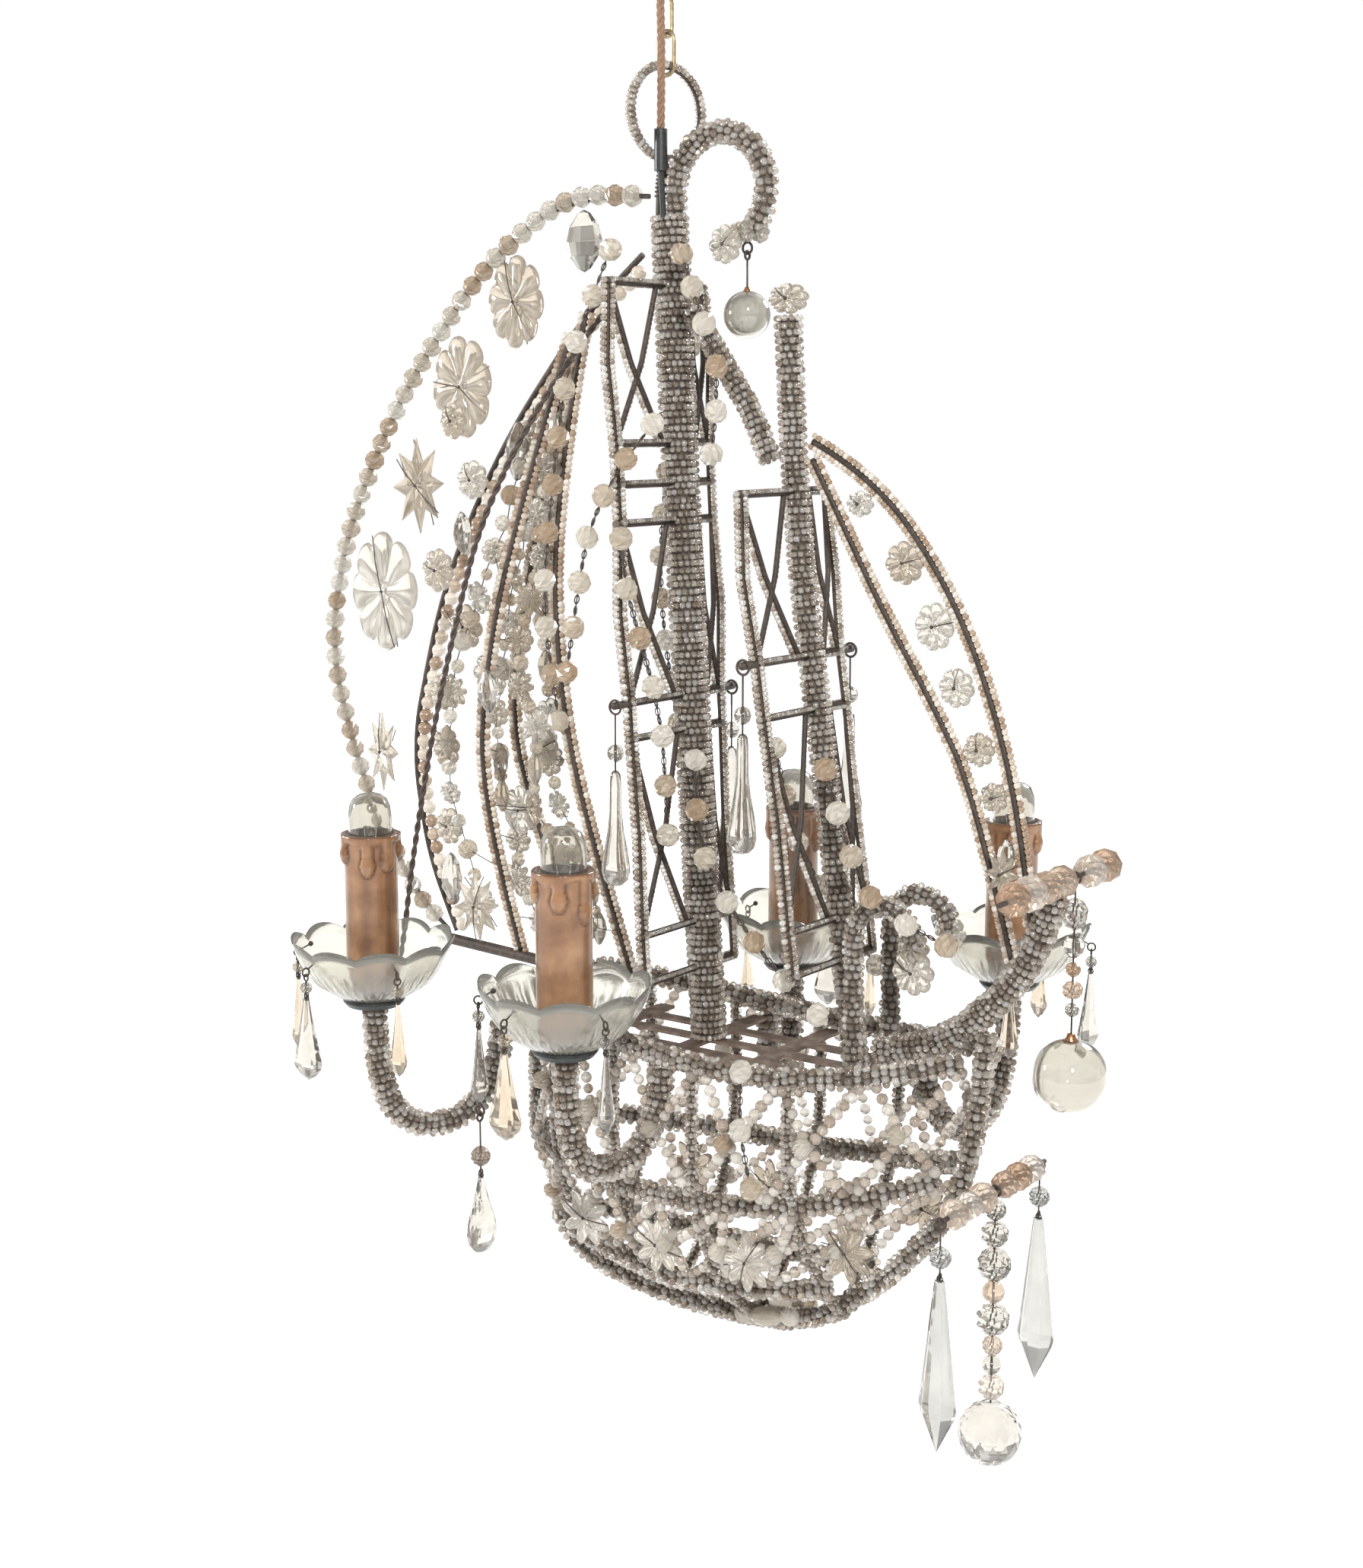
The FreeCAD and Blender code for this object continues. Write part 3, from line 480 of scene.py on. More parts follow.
def islands(node):
    """Centre, size and points of each separate solid of a CAD node, in metres."""
    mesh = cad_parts[node].data
    co = np.empty(len(mesh.vertices) * 3)
    mesh.vertices.foreach_get("co", co)
    co = co.reshape(-1, 3)
    _, same = np.unique(np.round(co * 1e6).astype(np.int64), axis=0, return_inverse=True)
    same = same.ravel()
    ends = np.empty(len(mesh.edges) * 2, dtype=np.int64)
    mesh.edges.foreach_get("vertices", ends)
    pairs = same[ends.reshape(-1, 2)]
    label = np.arange(same.max() + 1)
    while True:
        low = np.minimum(label[pairs[:, 0]], label[pairs[:, 1]])
        new = label.copy()
        np.minimum.at(new, pairs[:, 0], low)
        np.minimum.at(new, pairs[:, 1], low)
        new = new[new]
        if (new == label).all():
            break
        label = new
    found = []
    for group in np.unique(label):
        part = co[label[same] == group]
        found.append(((part.min(0) + part.max(0)) / 2, part.max(0) - part.min(0), part))
    return sorted(found, key=lambda f: (round(f[0][2], 5), round(f[0][0], 5), round(f[0][1], 5)))


# ---------------------------------------------------------------- routes, in mm, as the frame has them
MAIN_MAST = [(2, 0, -152), (9, 0, -300), (26, 0, -549)]
FORE_MAST = [(70, 0, -200), (74, 0, -290), (92, 0, -404), (112, 0, -549)]
STAY = [(16, 0, -196), (35, 0, -222), (51, 0, -244), (60, 0, -264)]
PROW = [(125, 0, -540), (152, 0, -535), (184, 0, -510), (205, 0, -482), (213, 0, -455)]
KEEL = [(-62, 0, -600), (-74, 0, -640), (-66, 0, -680), (0, 0, -693), (82, 0, -689),
        (118, 0, -664), (150, 0, -632), (176, 0, -592), (181, 0, -524)]
UPPER_RAIL = [(-62, -26, -532), (-20, -50, -540), (60, -56, -547), (130, -46, -545), (176, -16, -534)]
MIDDLE_RAIL = [(-66, -22, -612), (-30, -46, -616), (50, -54, -616), (128, -42, -606), (165, -14, -592)]
LOWER_RAIL = [(-62, -10, -660), (-20, -26, -664), (50, -32, -668), (110, -20, -656)]
RIBS = [(-40, 39, -536, 40, -615, 18, -662), (6, 52, -543, 50, -616, 29, -666),
        (56, 56, -547, 54, -616, 32, -668), (106, 50, -546, 46, -609, 21, -657)]
STERN_OUTER = [(-10, 0, -141), (-60, 0, -137), (-116, 0, -170), (-176, 0, -236), (-216, 0, -306),
               (-232, 0, -372), (-208, 0, -446), (-170, 0, -503), (-147, 0, -519)]
STERN_INNER = [(-14, 0, -168), (-51, 0, -197), (-105, 0, -260), (-146, 0, -332), (-171, 0, -420),
               (-160, 0, -480), (-141, 0, -519)]
SAIL_RIBS = [[(-56, -4, -206), (-72, -26, -290), (-92, -30, -370), (-100, -26, -440), (-96, 0, -523)],
             [(-66, 4, -216), (-102, 20, -318), (-120, 20, -400), (-95, 16, -465), (-53, 0, -525)],
             [(-46, -4, -196), (-57, -18, -290), (-52, -20, -381), (-36, -16, -453), (-22, 0, -526)]]
JIB_OUTER = [(84, 0, -256), (118, 0, -272), (156, 0, -318), (180, 0, -368), (196, 0, -425), (202, 0, -468)]
JIB_INNER = [(84, 0, -264), (100, 0, -292), (124, 0, -334), (151, 0, -375), (172, 0, -412), (193, 0, -486)]
FLEX = [(6, -11.4, -16), (5.2, -12, -48), (5.8, -11.2, -80), (5, -11.1, -112)]
ARM_LEAD = [(-26, -16, -196), (-72, -42, -262), (-112, -42, -380), (-130, -46, -470), (-124, -62, -522),
            (-113, -79.5, -531.5)]
LAMPS = {"stern": (-111, -96), "near": (22, -109), "far": (18, 88), "bow": (130, 120)}
ARM_ROOTS = {"stern": (-76, -38, -533), "near": (36, -54, -552.6), "far": (26, 53, -551.6),
             "bow": (123, 46, -551.8)}
FRAME_WIRE = 0.0015
# Shroud uprights bow out, but bend in beside the long drops, which then swing clear.
BAY_BOW, BESIDE_DROP = 0.0035, -0.0015


# By mast: its line, its radius in metres, and the long drops' crossbar: reach each side and height, in mm.
SHROUDS = {"main": (MAIN_MAST, 0.0095, (62, 36), -378), "fore": (FORE_MAST, 0.007, (58, 36), -355)}


def mast_x(mast, z):
    """X of a mast's middle line, in metres, at a height in mm."""
    line = smooth_line(mast)
    return float(np.interp(-z * MM, -line[:, 2], line[:, 0]))


def mirrored(points):
    return [(x, -y, z) for x, y, z in points]


# ---------------------------------------------------------------- beads on frames
def capped(profile, sides, twist=0.0):
    """A turned bead whose two ends are flat faces."""
    verts, faces = lathe(profile, sides, twist=twist)
    return verts, faces + [list(range(sides))[::-1], list(range(len(verts) - sides, len(verts)))]


BEAD = capped([(0.42, -0.8), (0.86, -0.55), (1.0, 0.0), (0.86, 0.55), (0.42, 0.8)], 8)
BEAD_FINE = ico(2)


def random_turns(n):
    """n random rotations as 3x3 matrices, from the seeded draw."""
    q = RNG.normal(size=(n, 4))
    q /= np.linalg.norm(q, axis=1)[:, None]
    w, x, y, z = q.T
    return np.stack([np.stack([1 - 2 * (y * y + z * z), 2 * (x * y - z * w), 2 * (x * z + y * w)], 1),
                     np.stack([2 * (x * y + z * w), 1 - 2 * (x * x + z * z), 2 * (y * z - x * w)], 1),
                     np.stack([2 * (x * z - y * w), 2 * (y * z + x * w), 1 - 2 * (x * x + y * y)], 1)], 1)


def bead_matrices(centres, radii):
    """Placements of round beads, each a little different in size and turned at random."""
    n = len(centres)
    out = np.tile(np.eye(4), (n, 1, 1))
    out[:, :3, :3] = random_turns(n) * (np.asarray(radii) * RNG.uniform(0.9, 1.1, n))[:, None, None]
    out[:, :3, 3] = centres
    return out


def threaded(centres, axes, outs, bead):
    """Placements of seed beads whose holes lie along axes and whose sides face outs."""
    n = len(centres)
    axes = axes + RNG.normal(0, 0.1, (n, 3))
    axes /= np.linalg.norm(axes, axis=1)[:, None]
    across = np.cross(axes, outs)
    across /= np.linalg.norm(across, axis=1)[:, None]
    size = (bead * RNG.uniform(0.93, 1.05, n))[:, None]
    out = np.tile(np.eye(4), (n, 1, 1))
    out[:, :3, 0], out[:, :3, 1], out[:, :3, 2] = np.cross(across, axes) * size, across * size, axes * size
    out[:, :3, 3] = centres
    return out


def wound(kit, points, radius, bead, mat=1, frayed=0.12, pitch=1.06):
    """Rings of seed beads side by side round a bar: each ring is one turn of threaded wire."""
    line, tangent, side, other, _ = even(points, bead * 2 * pitch)
    count = max(5, int(2 * math.pi * (radius - bead) / (bead * 1.78)))
    rows = len(line)
    a = 2 * math.pi * (np.arange(count)[None] + RNG.uniform(0, 1, (rows, 1))) / count
    lean = RNG.uniform(-0.28, 0.28, (rows, 1)) * np.sin(a + RNG.uniform(0, 6.28, (rows, 1))) * bead
    lean[[0, -1]] = 0
    r = radius - bead + RNG.normal(0, frayed, a.shape) * bead
    r = np.minimum(r, radius - bead * 0.9)
    out = np.cos(a)[..., None] * side[:, None] + np.sin(a)[..., None] * other[:, None]
    turn = -np.sin(a)[..., None] * side[:, None] + np.cos(a)[..., None] * other[:, None]
    centres = line[:, None] + out * r[..., None] + tangent[:, None] * lean[..., None]
    kit.many(BEAD, threaded(centres.reshape(-1, 3), turn.reshape(-1, 3), out.reshape(-1, 3), bead), mat)


def edged(kit, points, offset, bead, way, shape=None, mat=1, pitch=0.84):
    """One row of small beads bound along one side of a wire. way is the direction, or a turn angle."""
    line, tangent, side, other, _ = even(points, bead * 2 * pitch)
    if isinstance(way, (int, float)):
        out = side * math.cos(way) + other * math.sin(way)
    else:
        flat = np.array(way, dtype=float) - tangent * (tangent @ np.array(way, dtype=float))[:, None]
        out = flat / np.maximum(np.linalg.norm(flat, axis=1), 1e-6)[:, None]
    kit.many(shape or BEAD, threaded(line + out * (offset + bead * 0.92), tangent, out, bead), mat)


def beaded_bar(name, node, routes, radius, bead, mats, slot="beaded_tube", body="lamp", **kw):
    """A bar wholly covered in small beads, in place of the plain CAD bar."""
    kit = Kit()
    for points in routes:
        line = smooth_line(points) if len(points) > 2 else np.array(points, dtype=float) * MM
        bar(kit, line, radius - 1.5 * bead, 10, 0)
        wound(kit, line, radius, bead, **kw)
    return kit.piece(name, mats, body, slot, (node,))


# ---------------------------------------------------------------- cut and moulded shapes, unit size
def petal_disc(petals, notch, groove, pointed=0.0, button=0.22):
    """A moulded flower in the XZ plane, reaching 1 each way, with petals on both faces."""
    around, rows = petals * 10, (0.0, 0.12, 0.24, 0.38, 0.55, 0.72, 0.86, 0.95, 1.0)
    verts = []
    for face in (-1, 1):
        for t in rows:
            for i in range(around):
                a = 2 * math.pi * i / around
                lobe = abs(math.cos(petals * a / 2))
                shape = (1 - pointed) * lobe ** 0.55 + pointed * lobe ** 1.6
                reach = 1 - notch * (1 - shape)
                swell = math.sqrt(max(0.0, 1 - t ** 4)) * (1 - groove * (1 - lobe ** 0.8) * min(1.0, t * 3))
                if t < button:
                    swell = 0.75 + 0.25 * math.cos(t / button * math.pi / 2)
                crease = 1 - pointed * 0.45 * max(0.0, lobe - 0.75) / 0.25 * min(1.0, t * 2.5)
                verts.append((t * reach * math.sin(a), face * swell * crease * 0.96,
                              t * reach * math.cos(a)))
    size = len(rows) * around
    faces = quads(len(rows), around) + [quad[::-1] for quad in quads(len(rows), around, start=size)]
    last = (len(rows) - 1) * around
    for i in range(around):
        k = (i + 1) % around
        faces.append([last + i, last + k, size + last + k, size + last + i])
    return np.array(verts), faces


def cut_star(points, waist):
    """A pointed star of facets in the XZ plane: each ray has a ridge from the middle to its tip."""
    verts, faces = [(0, -0.95, 0), (0, 0.95, 0)], []
    for i in range(2 * points):
        a = math.pi * i / points
        r = 1.0 if i % 2 == 0 else waist
        thick = 0.12 if i % 2 == 0 else 0.34
        for face in (-1, 1):
            verts.append((r * math.sin(a), face * thick, r * math.cos(a)))
        mid = 0.5 if i % 2 == 0 else waist * 0.55
        for face in (-1, 1):
            lift = 0.88 if i % 2 == 0 else 0.42
            verts.append((mid * math.sin(a), face * lift, mid * math.cos(a)))
    n = 2 * points
    for i in range(n):
        a, b = 2 + 4 * i, 2 + 4 * ((i + 1) % n)
        faces += [[0, b + 2, a + 2], [a + 2, b + 2, b], [a + 2, b, a]]
        faces += [[1, a + 3, b + 3], [a + 3, b + 1, b + 3], [a + 3, a + 1, b + 1]]
        faces.append([a, b, b + 1, a + 1])
    return np.array(verts), faces


ROSETTE = petal_disc(8, 0.16, 0.72)
DAISY = petal_disc(8, 0.42, 0.6, pointed=1.0)
STAR = cut_star(8, 0.5)
BALL = ico(3)
FACET_BALL = lathe([(0, -1), (0.42, -0.91), (0.8, -0.6), (0.98, -0.2), (0.98, 0.2), (0.8, 0.6),
                    (0.42, 0.91), (0, 1)],
                   9, twist=0.5)
ROUND_CUT = capped([(0.14, -0.99), (0.5, -0.86), (0.84, -0.54), (1, 0), (0.84, 0.54), (0.5, 0.86),
                    (0.14, 0.99)], 8,
                   twist=0.5)
CUT_BEAD = capped([(0.2, -0.94), (0.68, -0.74), (1.0, -0.3), (1.0, 0.3), (0.68, 0.74), (0.2, 0.94)], 8,
                  twist=0.5)
BICONE = capped([(0.3, -1.0), (0.76, -0.66), (1.0, -0.1), (1.0, 0.1), (0.76, 0.66), (0.3, 1.0)], 10,
                twist=0.5)
OVAL = lathe([(0, -1), (0.34, -0.88), (0.82, -0.45), (0.98, 0.0), (0.82, 0.45), (0.34, 0.88), (0, 1)], 12)


def sized(size, grow=1.0):
    return np.asarray(size) / 2 * grow


def crystals(name, node, shape, slot, mats, wires=True, smooth=True, fit=1.0):
    """Each plain solid of a CAD node becomes a moulded crystal with its binding wire."""
    kit = Kit()
    for centre, size, _ in islands(node):
        half = sized(size, fit)
        tilt = RNG.uniform(-0.25, 0.25)
        turn = np.array(Matrix.Rotation(tilt, 3, "Y"))
        frame4 = np.eye(4)
        frame4[:3, :3] = np.diag(half) @ turn
        reach = np.abs((np.asarray(shape[0]) @ frame4[:3, :3].T)).max(0)
        frame4[:3, :3] = np.diag(np.minimum(half / reach, 1.06)) @ frame4[:3, :3]
        frame4[:3, 3] = centre
        kit.add(shape, frame4, 0, smooth)
        if wires:
            for face in (-1, 1):
                front = centre + (0, face * half[1], 0)
                a = RNG.uniform(0, math.pi)
                for ang in (a, a + math.pi * RNG.uniform(0.8, 1.2))[:1 if half[0] < 0.012 else 2]:
                    end = centre + (math.cos(ang) * half[0] * 0.98, face * half[1] * 0.2,
                                    math.sin(ang) * half[2] * 0.98)
                    middle = (front + end) / 2 + (0, face * half[1] * 0.35, 0)
                    bar(kit, np.array([front, middle, end]), 0.0003, 5, 1, 0.002)
                kit.add(FACET_BALL, place(front, scale=(0.0009,) * 3), 1)
    return kit.piece(name, mats, "lamp", slot, (node,))


def bead_row(node, shape, along=None, smooth=False):
    """Each bead of a CAD node, cut to a shape. along is the line they are threaded on."""
    kit = Kit()
    beads = [f for f in islands(node) if max(f[1]) < 2.6 * min(f[1])]
    centres = np.array([f[0] for f in beads])
    for (centre, size, _), near in zip(beads, centres):
        away = np.linalg.norm(centres - near, axis=1)
        order = np.argsort(away)[1:3]
        way = centres[order[0]] - near if len(order) == 1 else centres[order[0]] - centres[order[1]]
        if along is not None:
            way = np.array(along, dtype=float)
        if np.linalg.norm(way) < 1e-6:
            way = np.array((0.0, 0.0, 1.0))
        half = max(size) / 2 * 1.04
        grain = RNG.uniform(0.94, 1.04)
        scale = (half * grain,) * 2 + (half * 0.98,)
        kit.add(shape, place(centre, x=RNG.normal(size=3), z=way, scale=scale), 0, smooth)
    return kit


# ---------------------------------------------------------------- suspension
def cord_piece(mats):
    """The cloth flex: three twisted cores in brown braid."""
    route = smooth_line(FLEX)
    kit = Kit()
    twisted(kit, route, 0.0006, 0.011, 3, 0.00095, 0.00102, 9, 0.0008)
    obj = kit.piece("flex_cord_twist", [mats["cloth"]], None, "cloth_flex", ("flex_cord",))
    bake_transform(obj)


RING_RADIUS, RING_WIRE, RING_CENTRE = 0.0205, 0.0011, (0, 0, -0.103)
STEM_WIRE, COILS = 0.0022, 9


def suspension(mats):
    """The ring that the chain holds, edged with beads, and the coiled stem below it."""
    kit = Kit()
    normal = np.array((-0.966, 0.259, 0.0))
    u = np.array((0.259, 0.966, 0.0))
    a = np.linspace(0, 2 * math.pi, 73)
    centre = np.array(RING_CENTRE)
    ring = centre + RING_RADIUS * (np.cos(a)[:, None] * u + np.sin(a)[:, None] * np.array((0, 0, 1.0)))
    bar(kit, ring, RING_WIRE, 8, 0)
    out = ring - centre
    out /= np.linalg.norm(out, axis=1)[:, None]
    for way in (normal, -normal):
        edged(kit, ring + out * 0.0008, 0.0003, 0.0016, way)
    line, tangent, _, _, _ = even(ring + out * 0.0016, 0.0029)
    kit.many(BEAD, threaded(line, tangent, np.tile(normal, (len(line), 1)), 0.0017), 1)
    stem = smooth_line([(0, 0, -124), (-3.6, 0, -133), (-3.6, 0, -151.9)])
    bar(kit, stem, STEM_WIRE, 10, 0)
    for i in range(COILS):
        kit.add(torus(0.0026, 0.0006, 14, 6), place(stem[min(len(stem) - 1, 6 + i * 2)], z=(0.2, 0.1, 1)),
                0)
    kit.piece("ring_beaded", [mats["iron"], mats["seed"]], nodes=("hanging_ring",))


# ---------------------------------------------------------------- beaded bars
def beaded_bars(mats):
    """Every beaded tube of the masts, hull and arms, and the three scrolls."""
    two = [mats["core"], mats["seed"]]
    beaded_bar("main_mast_beads", "main_mast", [MAIN_MAST], 0.0095, 0.0016, two, frayed=0.07)
    beaded_bar("fore_mast_beads", "fore_mast", [FORE_MAST], 0.007, 0.0016, two, frayed=0.1)
    beaded_bar("stay_beads", "mast_stay", [STAY], 0.006, 0.00165, two, frayed=0.15)
    beaded_bar("prow_beads", "prow_tube", [PROW], 0.0075, 0.0017, two, frayed=0.3)
    beaded_bar("keel_beads", "keel", [KEEL], 0.006, 0.0020, two, frayed=0.3)
    bow_scrolls(two + [mats["moulded"]])
    top_scroll(two + [mats["moulded"], mats["iron"]])
    hull_bars(two)
    arms(two)


BOW_SCROLL_X, BOW_SCROLL_Z, BOW_SCROLL_R = 136, -482, 16
TOP_SCROLL_X, TOP_SCROLL_Z, TOP_SCROLL_R = 31.2, -140, 26
EYE_RING = torus(0.0026, 0.0006, 20, 8)


def bow_scrolls(mats):
    """The two small scrolls at the bow, each with a flower at its tip."""
    kit = Kit()
    for side in (17, -17):
        foot = [(BOW_SCROLL_X - BOW_SCROLL_R, side, z) for z in (-550.3, -516)]
        arc = [(BOW_SCROLL_X - BOW_SCROLL_R * math.cos(t), side, BOW_SCROLL_Z + BOW_SCROLL_R * math.sin(t))
               for t in np.linspace(0, math.pi, 9)]
        line = np.array(foot + arc) * MM
        bar(kit, line, 0.0033, 10, 0)
        wound(kit, line, 0.0055, 0.0017, frayed=0.3)
        kit.add(ROSETTE, place(line[-1] + (0, 0, -0.001), x=(1, 0, 0), z=(0, 0, 1),
                               scale=(0.008, 0.004, 0.008)), 2)
    kit.piece("bow_scroll_beads", mats, nodes=("bow_scrolls",))


def top_scroll(mats):
    """The mast-head scroll, its flower of five, and the eye that holds the clear ball."""
    kit = Kit()
    arc = [(TOP_SCROLL_X + TOP_SCROLL_R * math.cos(t), 0, TOP_SCROLL_Z + TOP_SCROLL_R * math.sin(t))
           for t in np.radians(np.linspace(180, -48, 30))]
    line = np.array([(5.2, 0, -151)] + arc) * MM
    bar(kit, line, 0.0037, 10, 0)
    wound(kit, line, 0.0062, 0.00185, frayed=0.3)
    tip = line[-1]
    for k in range(5):
        ang = 2 * math.pi * k / 5
        kit.add(ROSETTE, place(tip + (0.0055 * math.cos(ang), 0.0055 * math.sin(ang), -0.001),
                               x=(math.cos(ang), math.sin(ang), 0.3), z=(0, 0, 1),
                               scale=(0.0048, 0.0028, 0.0048)), 2)
    eye = np.array((46.8, 0, -170.0)) * MM
    bar(kit, np.array([tip, eye + (0, 0, 0.0052)]), 0.0007, 8, 3)
    kit.add(EYE_RING, place(eye + (0, 0, 0.0026), x=(1, 0, 0), z=(0, 1, 0)), 3)
    kit.piece("top_scroll_beads", mats, nodes=("top_scroll",))


def hull_bars(mats):
    """Rails, ribs and transom bars."""
    for name, route in (("upper", UPPER_RAIL), ("middle", MIDDLE_RAIL), ("lower", LOWER_RAIL)):
        beaded_bar("rail_%s_beads" % name, "hull_rails", [route, mirrored(route)], 0.006, 0.0020, mats,
                   frayed=0.3)
    ribs = []
    for x, y1, z1, y2, z2, y3, z3 in RIBS:
        for side in (-1, 1):
            ribs.append([(x, side * y1, z1), (x, side * (max(y1, y2) + 2), (z1 + z2) / 2),
                         (x, side * y2, z2),
                         (x, side * y3, z3), (x, 0, z3 - 20)])
    beaded_bar("rib_beads", "hull_ribs", ribs, 0.0036, 0.0014, mats, frayed=0.2)
    bars = []
    for z in (-532, -612):
        bars.append([(-62, 24, z), (-78, 12, z - 4), (-78, -12, z - 4), (-62, -24, z)])
    for side in (-1, 1):
        bars.append([(-76, side * 12, -536), (-76, side * 12, -614)])
    beaded_bar("transom_beads", "transom_bars", bars, 0.005, 0.0016, mats, frayed=0.25)


def arms(mats):
    """The four candle arms."""
    for name, (lx, ly) in LAMPS.items():
        rx, ry, rz = ARM_ROOTS[name]
        low = -600 if name in ("stern", "bow") else -594
        points = [(lx, ly, -534), (lx, ly, -572), (rx + (lx - rx) * 0.78, ry + (ly - ry) * 0.78, low),
                  (rx + (lx - rx) * 0.3, ry + (ly - ry) * 0.3, low), (rx, ry, -570), (rx, ry, rz)]
        beaded_bar("arm_%s_beads" % name, "candle_arms", [points], 0.007, 0.0018, mats, frayed=0.35)


CROSSBARS = {"main": (-183, -257, -276, -294, -378, -395, -490, -513),
             "fore": (-279, -355, -380, -478, -498)}
CROSSED_BAYS = {"main": ((-183, -257), (-294, -378), (-395, -490)), "fore": ((-279, -355), (-380, -478))}
UPRIGHT_INSIDE, BAR_PAST_UPRIGHT, SHORT_BAY_MM = 0.012, 0.0015, 60


def crossbar(kit, mast, z, side, r, out, end):
    """A shroud's crossbar from the mast to its end, with beads as far as the upright."""
    x = mast_x(mast, z)
    stick(kit, (x, side * (r - 0.003), z * MM), (x, side * end, z * MM), 0.0019, 8, 0)
    for turn in (0.5, 3.6):
        edged(kit, np.array([(x, side * r, z * MM), (x, side * out, z * MM)]), 0.0012, 0.0011, turn)


def upright(kit, mast, z0, z1, side, out, bow):
    """The outer wire between two crossbars, bent out by bow, with two rows of beads."""
    middle = (z0 + z1) / 2
    line = np.array([(mast_x(mast, z0), side * out, z0 * MM),
                     (mast_x(mast, middle), side * (out + bow), middle * MM),
                     (mast_x(mast, z1), side * out, z1 * MM)])
    bar(kit, line, 0.0014, 8, 0)
    edged(kit, line, 0.0014, 0.0017, (0, side, 0))
    edged(kit, line, 0.0012, 0.0014, (0.9, -side * 0.3, 0))


def diagonals(kit, mast, z0, z1, side, r, out):
    """The two crossing wires of a bay, each bent a little and beaded along one side."""
    inner = r + 0.0035
    for ya, yb, way in ((out, inner, 1), (inner, out, -1)):
        a = np.array((mast_x(mast, z0), side * ya, z0 * MM))
        b = np.array((mast_x(mast, z1), side * yb, z1 * MM))
        line = np.array([a, (a + b) / 2 + (0, side * 0.004 * way, 0), b])
        bar(kit, line, 0.0013, 8, 0)
        edged(kit, line, 0.0011, 0.0014, (-0.6, side * way, 0))


def shrouds(mats):
    """Crossbars, uprights and diagonals beside each mast: dark iron bound with rows of small beads."""
    for name, (mast, r, reach, drop) in SHROUDS.items():
        kit = Kit()
        for side, far in ((-1, reach[0] * MM), (1, reach[1] * MM)):
            out = far - UPRIGHT_INSIDE
            for z in CROSSBARS[name]:
                crossbar(kit, mast, z, side, r, out, far if z == drop else out + BAR_PAST_UPRIGHT)
            for z0, z1 in zip(CROSSBARS[name], CROSSBARS[name][1:]):
                bow = 0.0 if z0 - z1 <= SHORT_BAY_MM else BESIDE_DROP if z0 < drop else BAY_BOW
                upright(kit, mast, z0, z1, side, out, bow)
            for z0, z1 in CROSSED_BAYS[name]:
                diagonals(kit, mast, z0, z1, side, r, out)
        kit.piece(name + "_shroud_beads", [mats["iron"], mats["seed"]], "lamp", "dark_iron",
                  (name + "_shrouds",))


def sail_frames(mats):
    """Sail ribs and jib wires, with a row of beads down each side."""
    kit = Kit()
    for points in SAIL_RIBS:
        line = smooth_line(points)
        bar(kit, line, FRAME_WIRE, 8, 0)
        for way in ((-1, 0, 0), (1, 0, 0)):
            edged(kit, line, FRAME_WIRE, 0.0018, way, BEAD_FINE, 1)
    for points in (JIB_OUTER, JIB_INNER):
        line = smooth_line(points)
        bar(kit, line, FRAME_WIRE, 8, 0)
        for way in ((1, 0, 0.5), (-1, 0, -0.5)):
            edged(kit, line, FRAME_WIRE * 0.8, 0.0016, way, BEAD_FINE, 1)
    kit.piece("sail_frame_beads", [mats["iron"], mats["honey"]], "lamp", "dark_iron", ("sail_frames",))


def strings(mats):
    """Beads on wires, and the flat moulded crystals."""
    kit = bead_row("stern_string_beads", BICONE)
    bar(kit, smooth_line(STERN_OUTER), 0.0007, 6, 1)
    kit.piece("stern_string_cut", [mats["aged"], mats["iron"]], "lamp", "aged_crystal",
              ("stern_string_beads",))
    kit = bead_row("sail_edge_beads", BALL, smooth=True)
    kit.piece("sail_edge_round", [mats["honey"]], "lamp", "aged_crystal", ("sail_edge_beads",))
    kit = bead_row("garland_beads", ROUND_CUT)
    kit.piece("garland_cut", [mats["aged"]], "lamp", "aged_crystal", ("garland_beads",))
    garland_links(mats)
    crystals("rosettes_moulded", "sail_rosettes", ROSETTE, "aged_crystal", [mats["moulded"], mats["iron"]])
    crystals("stars_cut", "sail_stars", STAR, "aged_crystal", [mats["moulded"], mats["iron"]], smooth=False)
    crystals("ovals_cut", "sail_ovals", OVAL, "cut_crystal", [mats["cut"], mats["iron"]], wires=False,
             smooth=False)
    crystals("daisies_moulded", "hull_stars", DAISY, "aged_crystal", [mats["moulded"], mats["iron"]])
    kit = bead_row("bow_crossbars", CUT_BEAD, along=(0, 1, 0))
    for (x, y, z), half in (((215.1, 2, -447.8), 58), ((186, 0, -597), 53)):
        stick(kit, (x * MM, (y - half) * MM, z * MM), (x * MM, (y + half) * MM, z * MM), 0.0012, 8, 1)
    kit.piece("crossbar_cut", [mats["honey_glass"], mats["iron"]], "lamp", "aged_crystal",
              ("bow_crossbars",))


